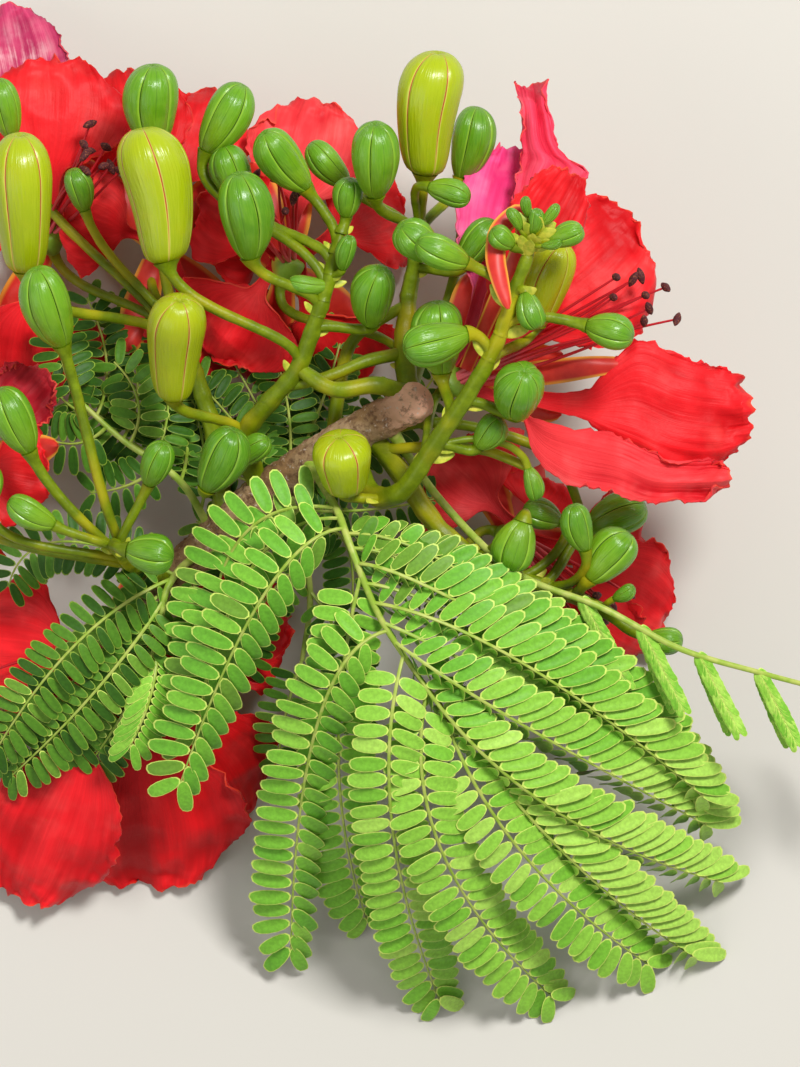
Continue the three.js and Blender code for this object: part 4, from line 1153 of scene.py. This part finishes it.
# How far a sepal bends back at its tip, in radians, and how much it leans down from the petals.
SEPAL_CURL = 0.6
FRONT_SEPAL_CURL = -0.8
SEPAL_LEAN = -0.1
STAMEN_BOW = 3
STAMEN_RADIUS = 0.5
STAMEN_RINGS = 22
STAMEN_SIDES = 7
STAMEN_SEED = 500
STAMENS = 10
BRUSH_SEED = 300
ANTHER_LENGTH = 4.2
ANTHER_RADIUS = 1.0
ANTHER_RINGS = 9
ANTHER_SIDES = 8
FLOWER_CUP_RADIUS = 4.2
FLOWER_CUP_LENGTH = 7
FLOWER_CUP_RINGS = 14
FLOWER_CUP_SIDES = 20


def sheet(grid, thickness, tint, finish, under):
    """A closed thin sheet from a grid of points: the grid moved half the thickness to each side
    along its normals, and a rim between. U runs across the grid and V along it. The finish is that
    of the upper side and of the rim, and the other is that of the underside."""
    rows, columns = grid.shape[:2]
    grid = grid.copy()
    grid[:, :, 2] = np.maximum(grid[:, :, 2], GROUND_CLEARANCE + thickness / 2)
    normal = unit(np.cross(np.gradient(grid, axis=0), np.gradient(grid, axis=1)))
    above = (grid + normal * thickness / 2).reshape(-1, 3)
    below = (grid - normal * thickness / 2).reshape(-1, 3)
    i, j = (a.ravel() for a in np.meshgrid(np.arange(rows - 1), np.arange(columns - 1), indexing="ij"))
    a = i * columns + j
    top = np.stack([a, a + columns, a + columns + 1, a + 1], -1)
    count = rows * columns
    rim = np.concatenate([
        np.arange(columns - 1), np.arange(columns - 1, count - 1, columns),
        np.arange(count - 1, count - columns, -1), np.arange(count - columns, 0, -columns),
    ])
    ring = np.append(rim[1:], rim[0])
    walls = np.stack([rim, ring, ring + count, rim + count], -1)
    faces = np.concatenate([top, top[:, ::-1] + count, walls])
    u, v = np.meshgrid(np.linspace(0, 1, columns), np.linspace(0, 1, rows))
    uv = np.tile(np.stack([u, v], -1).reshape(-1, 2), (2, 1))
    zones = np.repeat([finish, under, finish], [len(top), len(top), len(walls)])
    points = np.vstack([above, below])
    points[:, 2] = np.maximum(points[:, 2], GROUND_CLEARANCE)
    return shape(points, faces, uv[faces], tint, zones)


def petal(foot, tip, width, seed, order, finish, outline):
    """A clawed petal. Its point at a share along and a side from -1 to 1 is the foot, plus the reach
    along it, a mix of its two margins across and a height out of it. The margins are the outline's,
    and both they and the reach lose a torn edge, the size of a ripple. The height is an arch plus a
    slow wave, folds, creases, pleats that fan out and a frill that grows to the margin."""
    rows, rounding = OUTLINES[outline]
    share = shares(PETAL_ROWS) ** 0.85
    side = np.sin(np.linspace(-np.pi / 2, np.pi / 2, PETAL_COLUMNS) * 0.82)[None] / np.sin(0.41 * np.pi)
    length = np.linalg.norm(tip - foot)
    along = (tip - foot) / length
    across = unit(np.cross(UP, along))
    out = np.cross(along, across)
    width = width * PETAL_FULLNESS
    blade = np.clip((share - PETAL_CLAW_SHARE) / (1 - PETAL_CLAW_SHARE), 0, 1)
    curve = bent(rows, CURVE_STEPS)
    left, right = (np.interp(share, curve[:, 0], curve[:, column]) for column in (1, 2))
    swell = (left + right) / 2
    reach = share * length - rounding * width * (1 - np.sqrt(1 - 0.93 * side**2)) * blade**2
    spot = np.stack(np.broadcast_arrays(side * width / 2 * swell, reach, seed * 7.3), -1)
    torn = PETAL_TEETH * (0.7 * abs(ripples(spot, 6, seed)) + 0.5 * abs(ripples(spot, 3, seed + 50)))
    half = width / 2 * swell - torn * abs(side) ** 8 * np.clip(blade * 4, 0, 1)
    reach = reach - torn * 1.3 * blade**12 + blade**6 * ripples(spot, 14, seed + 7)
    edge = np.maximum(abs(side), np.clip(blade * 1.15 - 0.15, 0, 1) ** 2)
    wave = np.sin(5.1 * share + 2.3 * side**2 + order * 1.7)
    ruffle = wave * PETAL_RUFFLE * width * side**2 * np.minimum(swell, 1)
    arch = np.sin(np.pi * share) * length * PETAL_ARCH
    fan = np.stack(np.broadcast_arrays(side * 22, share * 9, seed * 3.1), -1)
    folds = PETAL_FOLD * ripples(fan, 15, seed + 1) * blade
    creases = (-PETAL_CREASE * abs(ripples(spot, 17, seed + 2))
               - PETAL_FINE_CREASE * abs(ripples(spot, 7, seed + 3))) * blade
    pleats = (PETAL_PLEAT * np.sin(side * 34 + 2.5 * ripples(fan, 9, seed + 4))
              + PETAL_FINE_PLEAT * ripples(fan, 2.2, seed + 9)) * blade
    frill = edge**3 * blade * (PETAL_FRILL * ripples(spot, 9, seed + 5)
                               + PETAL_FINE_FRILL * ripples(spot, 3.5, seed + 6))
    gutter = -PETAL_GUTTER * (1 - side**2) * np.clip(1 - blade * 3, 0, 1)
    height = arch + ruffle + folds + creases + pleats + frill + gutter + 0.9
    aside = (left - right) / 2 * width / 2 + side * half
    grid = foot + reach[:, :, None] * along + aside[:, :, None] * across + height[:, :, None] * out
    # Each point's tint is its height in the relief, for the finish's painted shade in the folds and painted
    # light on the crests.
    depth = np.clip(0.5 + 0.3 * (folds + creases + frill + 3 * pleats + 0.8), 0, 1).ravel()
    return sheet(grid, PETAL_THICKNESS, np.tile(depth, 2), finish, finish)


def curled_sepal():
    """A long sepal on a route of its own: a strip, hollow across, that widens evenly and is rounded
    at its tip."""
    line = bent(CURLED_SEPAL, CURLED_SEPAL_ROWS)
    share = shares(CURLED_SEPAL_ROWS)
    side = np.linspace(-1, 1, CURLED_SEPAL_COLUMNS)[None]
    along = across_line(line)[0]
    across = unit(np.cross(UP, along))
    half = CURLED_SEPAL_WIDTH / 2 * (0.5 + 0.5 * share) * (1 - share**8) ** 0.5
    height = -0.8 * side**2 + 0.2 * np.sin(24 * share + 2 * side)
    grid = line[:, None] + (side * half)[:, :, None] * across[:, None] + height[:, :, None] * UP
    return sheet(grid, SEPAL_THICKNESS, 0.5, 0, 1)


def sepal(foot, direction, length, width, curl, phase):
    """A bent-back sepal: a pointed blade whose half width is a skewed sine, hollow across. It bends
    by an angle that grows with the square of the share, up to the curl at its tip. The phase is
    that of its faint waves."""
    share = shares(SEPAL_ROWS)
    side = np.linspace(-1, 1, SEPAL_COLUMNS)[None]
    across = unit(np.cross(UP, direction))
    out = np.cross(direction, across)
    half = width / 2 * (0.35 + 0.65 * np.sin(np.pi * (0.1 + 0.62 * share))) * (1 - share**5) ** 0.6
    bend = curl * share**2
    step = length / (len(share) - 1)
    forward = np.cumsum(np.cos(bend), axis=0) * step
    outward = np.cumsum(np.sin(bend), axis=0) * step + 0.6 * np.sin(9 * share + phase)
    height = outward - 0.16 * width * side**2 + 0.25 * np.sin(14 * share + 3 * side + phase)
    grid = (foot + forward[:, :, None] * direction
            + (side * half)[:, :, None] * across + height[:, :, None] * out)
    return sheet(grid, SEPAL_THICKNESS, 0.5, 0, 1)


def anther(foot, apex):
    """A small body that is pointed at both ends: its radius is the sine of the share along it."""
    share = shares(ANTHER_RINGS)
    swell = ANTHER_RADIUS * np.sin(np.pi * (0.04 + 0.92 * share)) ** 0.8
    return carried(foot + share * (apex - foot), swell, ANTHER_SIDES, 0.5, 1)


def stamen(start, end, seed):
    """A filament, thinner to its tip and bowed upwards, and the anther across its end."""
    draw = np.random.default_rng(seed)
    middle = (start + end) / 2 + UP * STAMEN_BOW + draw.normal(0, 2.2, 3)
    line = bowed(STAMEN_RINGS, start, middle, end)
    share = shares(STAMEN_RINGS)
    filament = carried(line, STAMEN_RADIUS * (1.15 - 0.6 * share), STAMEN_SIDES, 0.5)
    lie = unit(np.cross(line[-1] - line[-2], draw.normal(size=3)) + 0.4 * (line[-1] - line[-2]))
    return [filament, anther(end - lie * ANTHER_LENGTH / 2, end + lie * ANTHER_LENGTH / 2)]


def petal_finish(name, bright, deep, light, streak=0.0):
    """Petal skin: painted shade makes it deeper in the folds and painted light lighter on the crests. It
    is deeper along the veins too, and a warmer thin margin is a painted glow of light through it. The
    veins fan out from the claw. Streak, from 0 to 1, is how far a pale blotched ground shows in the
    middle."""
    skin = Finish(name, Roughness=0.5, Specular_IOR_Level=0.22, Sheen_Weight=0.08, Sheen_Roughness=0.4)
    across, along = skin.surface()
    fan = skin.node("CombineXYZ", {}, {0: across * 46, 1: along * 2.2})
    veins = skin.noise(1.0, 5, 0.6, fan)
    # Painted shade and light: the tint is the relief's height, deep in the folds and bright on the crests.
    body = skin.mix(skin.tint().step(0.1, 0.95), deep, bright)
    body = skin.mix(skin.noise(80, 3).step(0.48, 0.8) * 0.6, body, light)
    body = skin.mix(veins.step(0.6, 0.42) * 0.28, body, deep)
    if streak:
        blotch = (veins * 0.4 + skin.noise(110, 4) * 0.6).step(0.44, 0.62)
        middle = abs(across - 0.5).step(0.42, 0.1) * along.step(0.97, 0.7) * streak
        body = skin.mix(middle * blotch, body, "#f8d4d4")
    # A painted glow of light through the thin margin, in a warmer orange.
    margin = abs(across - 0.5).step(0.485, 0.5) + along.step(0.985, 1.0)
    body = skin.mix(margin.step(0.0, 1.0) * 0.3, body, "#ff6a3c")
    skin.set("Base Color", skin.mix(along.step(0.34, 0.12) * 0.5, body, "#a80a18"))
    return skin.bump(veins * 0.6 + skin.noise(500, 5, 0.6) * 0.4, 0.0003)


def sepal_finish(name, scale, first, second, start, end, margin):
    """One side of a sepal: two mottled colours, which change to the margin's colour between the
    start and the end, as distances from the middle."""
    skin = Finish(name, Roughness=0.45)
    edge = abs(skin.surface()[0] - 0.5).step(start, end)
    body = skin.mix(skin.noise(scale, 3), first, second)
    return skin.set("Base Color", skin.mix(edge, body, margin))


def filament_finish():
    """Red filaments, paler towards the foot."""
    filament = Finish("filament", Roughness=0.4)
    higher = filament.surface()[1].step(0.0, 0.5)
    return filament.set("Base Color", filament.mix(higher, "#e8606a", "#c01020"))


def flower_cup(foot, axis):
    """The cup under the petals: a tube on the flower's axis whose radius opens by a quarter sine."""
    share = shares(FLOWER_CUP_RINGS)
    radius = FLOWER_CUP_RADIUS * (0.4 + 0.6 * np.sin(np.pi / 2 * np.clip(share / 0.8, 0, 1)))
    rounded = radius * np.clip((1.02 - share) * 8, 0, 1) ** 0.5
    return carried(foot + share * FLOWER_CUP_LENGTH * axis, rounded, FLOWER_CUP_SIDES, 0.5, 1)


# What the numbers of the petals' finishes stand for, counted from 0.
PETAL_FINISHES = [
    petal_finish("petal", "#fc2028", "#cc0a14", "#ff504c"),
    petal_finish("rosy_petal", "#ff4866", "#d41e3e", "#ff8296"),
    petal_finish("deep_petal", "#e81018", "#b4080e", "#f63434"),
    petal_finish("magenta_petal", "#ff5c9c", "#e02c70", "#ffa4c8"),
    petal_finish("pink_petal", "#fe4044", "#d41a26", "#ff7874"),
    petal_finish("streaked_petal", "#d84270", "#a01c4c", "#f094ac", 0.6),
    # A darker red, painted shade for a petal that lies in shade.
    petal_finish("painted_shade_petal", "#d82234", "#a81020", "#ec5058"),
]
SEPAL_INSIDE = sepal_finish("sepal_inside", 500, "#c9161c", "#e8402a", 0.33, 0.46, "#f0a23a")
SEPAL_OUTSIDE = sepal_finish("sepal_outside", 400, "#6f9c22", "#94b436", 0.3, 0.47, "#d8b948")
FILAMENT = filament_finish()
ANTHER = mottled("anther", "#4a0d18", "#94502e", 2500, 3, 0.5, 0.7, Roughness=0.75)
for number, (name, plan) in enumerate(FLOWERS.items()):
    centre = np.array(plan["cup"], float)
    petals = np.array(plan["petals"], float)
    tips = petals[:, :3]
    axis = unit(unit(tips.mean(0) - centre) * 0.5 + UP * 0.5)
    foot = centre - axis * FLOWER_CUP_LENGTH
    flat = tips - centre - ((tips - centre) @ axis)[:, None] * axis
    seats = centre + PETAL_SEAT * unit(flat) - axis * PETAL_SEAT / 2
    outlines = plan.get("outlines", {})
    sheets = [petal(seat, tip, width, 10 * number + k, k, int(finish), outlines.get(k, "fan"))
              for k, (seat, tip, (width, finish)) in enumerate(zip(seats, tips, petals[:, 3:]))]
    if "lip" in plan:
        tip = np.array(plan["lip"][:3], float)
        width, finish = plan["lip"][3:]
        sheets.append(petal(seats[0], tip, width, LIP_SEED, LIP_ORDER, finish, "fan"))
    piece(f"petals_{name}", sheets, PETAL_FINISHES, [f"flower_{name}"])
    green = [flower_cup(foot, axis)]
    betweens = unit((tips + np.roll(tips, -1, axis=0)) / 2 - centre) + SEPAL_LEAN * axis
    for k, direction in enumerate(unit(betweens)):
        rim = foot + direction * PETAL_SEAT + axis * FLOWER_CUP_LENGTH / 2
        green.append(sepal(rim, direction, SEPAL_LENGTH, SEPAL_WIDTH, SEPAL_CURL, k))
    for k, tip in enumerate(plan.get("sepals", [])):
        rim = foot + axis * FLOWER_CUP_LENGTH / 2
        span = np.array(tip, float) - rim
        length = np.linalg.norm(span)
        green.append(sepal(rim, unit(span), length, FRONT_SEPAL_WIDTH, FRONT_SEPAL_CURL, 8 + k))
    if name == YOUNG_STEM:
        green.append(curled_sepal())
    piece(f"sepals_{name}", green, [SEPAL_INSIDE, SEPAL_OUTSIDE], [f"flower_{name}"])
    stalk = pedicel(plan["stem"], foot + axis * 0.5, foot + axis, FLOWER_CUP_RADIUS * 0.4, 0.3)
    piece(f"flower_stalk_{name}", stalk, [STALK, BRACT], [f"flower_{name}"])
    pointing = unit(np.array(plan["brush"][:3], float) - centre)
    start = unit(np.cross(pointing, [0.4, 0.1, 0.2]))
    other = np.cross(pointing, start)
    brush = []
    draw = np.random.default_rng(BRUSH_SEED + number)
    for k in range(STAMENS):
        turn = 2 * np.pi * (k + draw.uniform(-0.3, 0.3)) / STAMENS
        around_axis = np.cos(turn) * start + np.sin(turn) * other
        lean = unit(pointing + plan["brush"][4] * draw.uniform(0.4, 1.1) * around_axis)
        end = centre + lean * plan["brush"][3] * draw.uniform(0.84, 1.06)
        start_place = centre + around_axis * PETAL_SEAT * 0.6 - axis
        brush += stamen(start_place, end, STAMEN_SEED + 20 * number + k)
    piece(f"stamens_{name}", brush, [FILAMENT, ANTHER], [f"flower_{name}"])


# The stage: a plain pale floor under the branch, soft studio light from above, and the camera that
# looks straight down on the branch.

# All in metres.
FLOOR_SIZE = 6.0
CAMERA_HEIGHT = 3.0
# The camera sees this much of the branch from top to bottom, at this level.
VIEW_HEIGHT = 0.2602
VIEW_LEVEL = 0.05
SKY_STRENGTH = 0.38
# Each lamp's name, place, size and power in watts.
LAMPS = [("key", (0.5, 0.8, 1.6), 0.4, 31), ("fill", (-1.2, -0.5, 1.1), 1.2, 5)]


def stage():
    """The floor, the lights and the camera."""
    half = FLOOR_SIZE / 2
    mesh = bpy.data.meshes.new("floor")
    corners = [(-half, -half, 0), (half, -half, 0), (half, half, 0), (-half, half, 0)]
    mesh.from_pydata(corners, [], [(0, 1, 2, 3)])
    floor = in_scene("floor", mesh)
    floor_finish = Finish("floor", Roughness=0.9)
    floor_finish.set("Base Color", "#d8d4cb")
    mesh.materials.append(floor_finish.material)
    world = bpy.data.worlds.new("studio")
    bpy.context.scene.world = world
    world.use_nodes = True
    sky = world.node_tree.nodes["Background"].inputs
    sky["Color"].default_value = paint("#f8f7f4")
    sky["Strength"].default_value = SKY_STRENGTH
    for label, place, size, power in LAMPS:
        lamp = bpy.data.lights.new(label, "AREA")
        lamp.energy = power
        lamp.size = size
        light = in_scene(label, lamp)
        light.location = place
        light.rotation_mode = "QUATERNION"
        light.rotation_quaternion = (-light.location).to_track_quat("-Z", "Y")
    camera = in_scene("camera", bpy.data.cameras.new("camera"))
    camera.location = (*(-LAYOUT_MIDDLE[:2] / MILLIMETRES), CAMERA_HEIGHT)
    camera.data.lens = camera.data.sensor_width * (CAMERA_HEIGHT - VIEW_LEVEL) / VIEW_HEIGHT
    camera.data.clip_start = 0.05
    bpy.context.scene.camera = camera
    bpy.context.scene.view_settings.view_transform = "Standard"


stage()
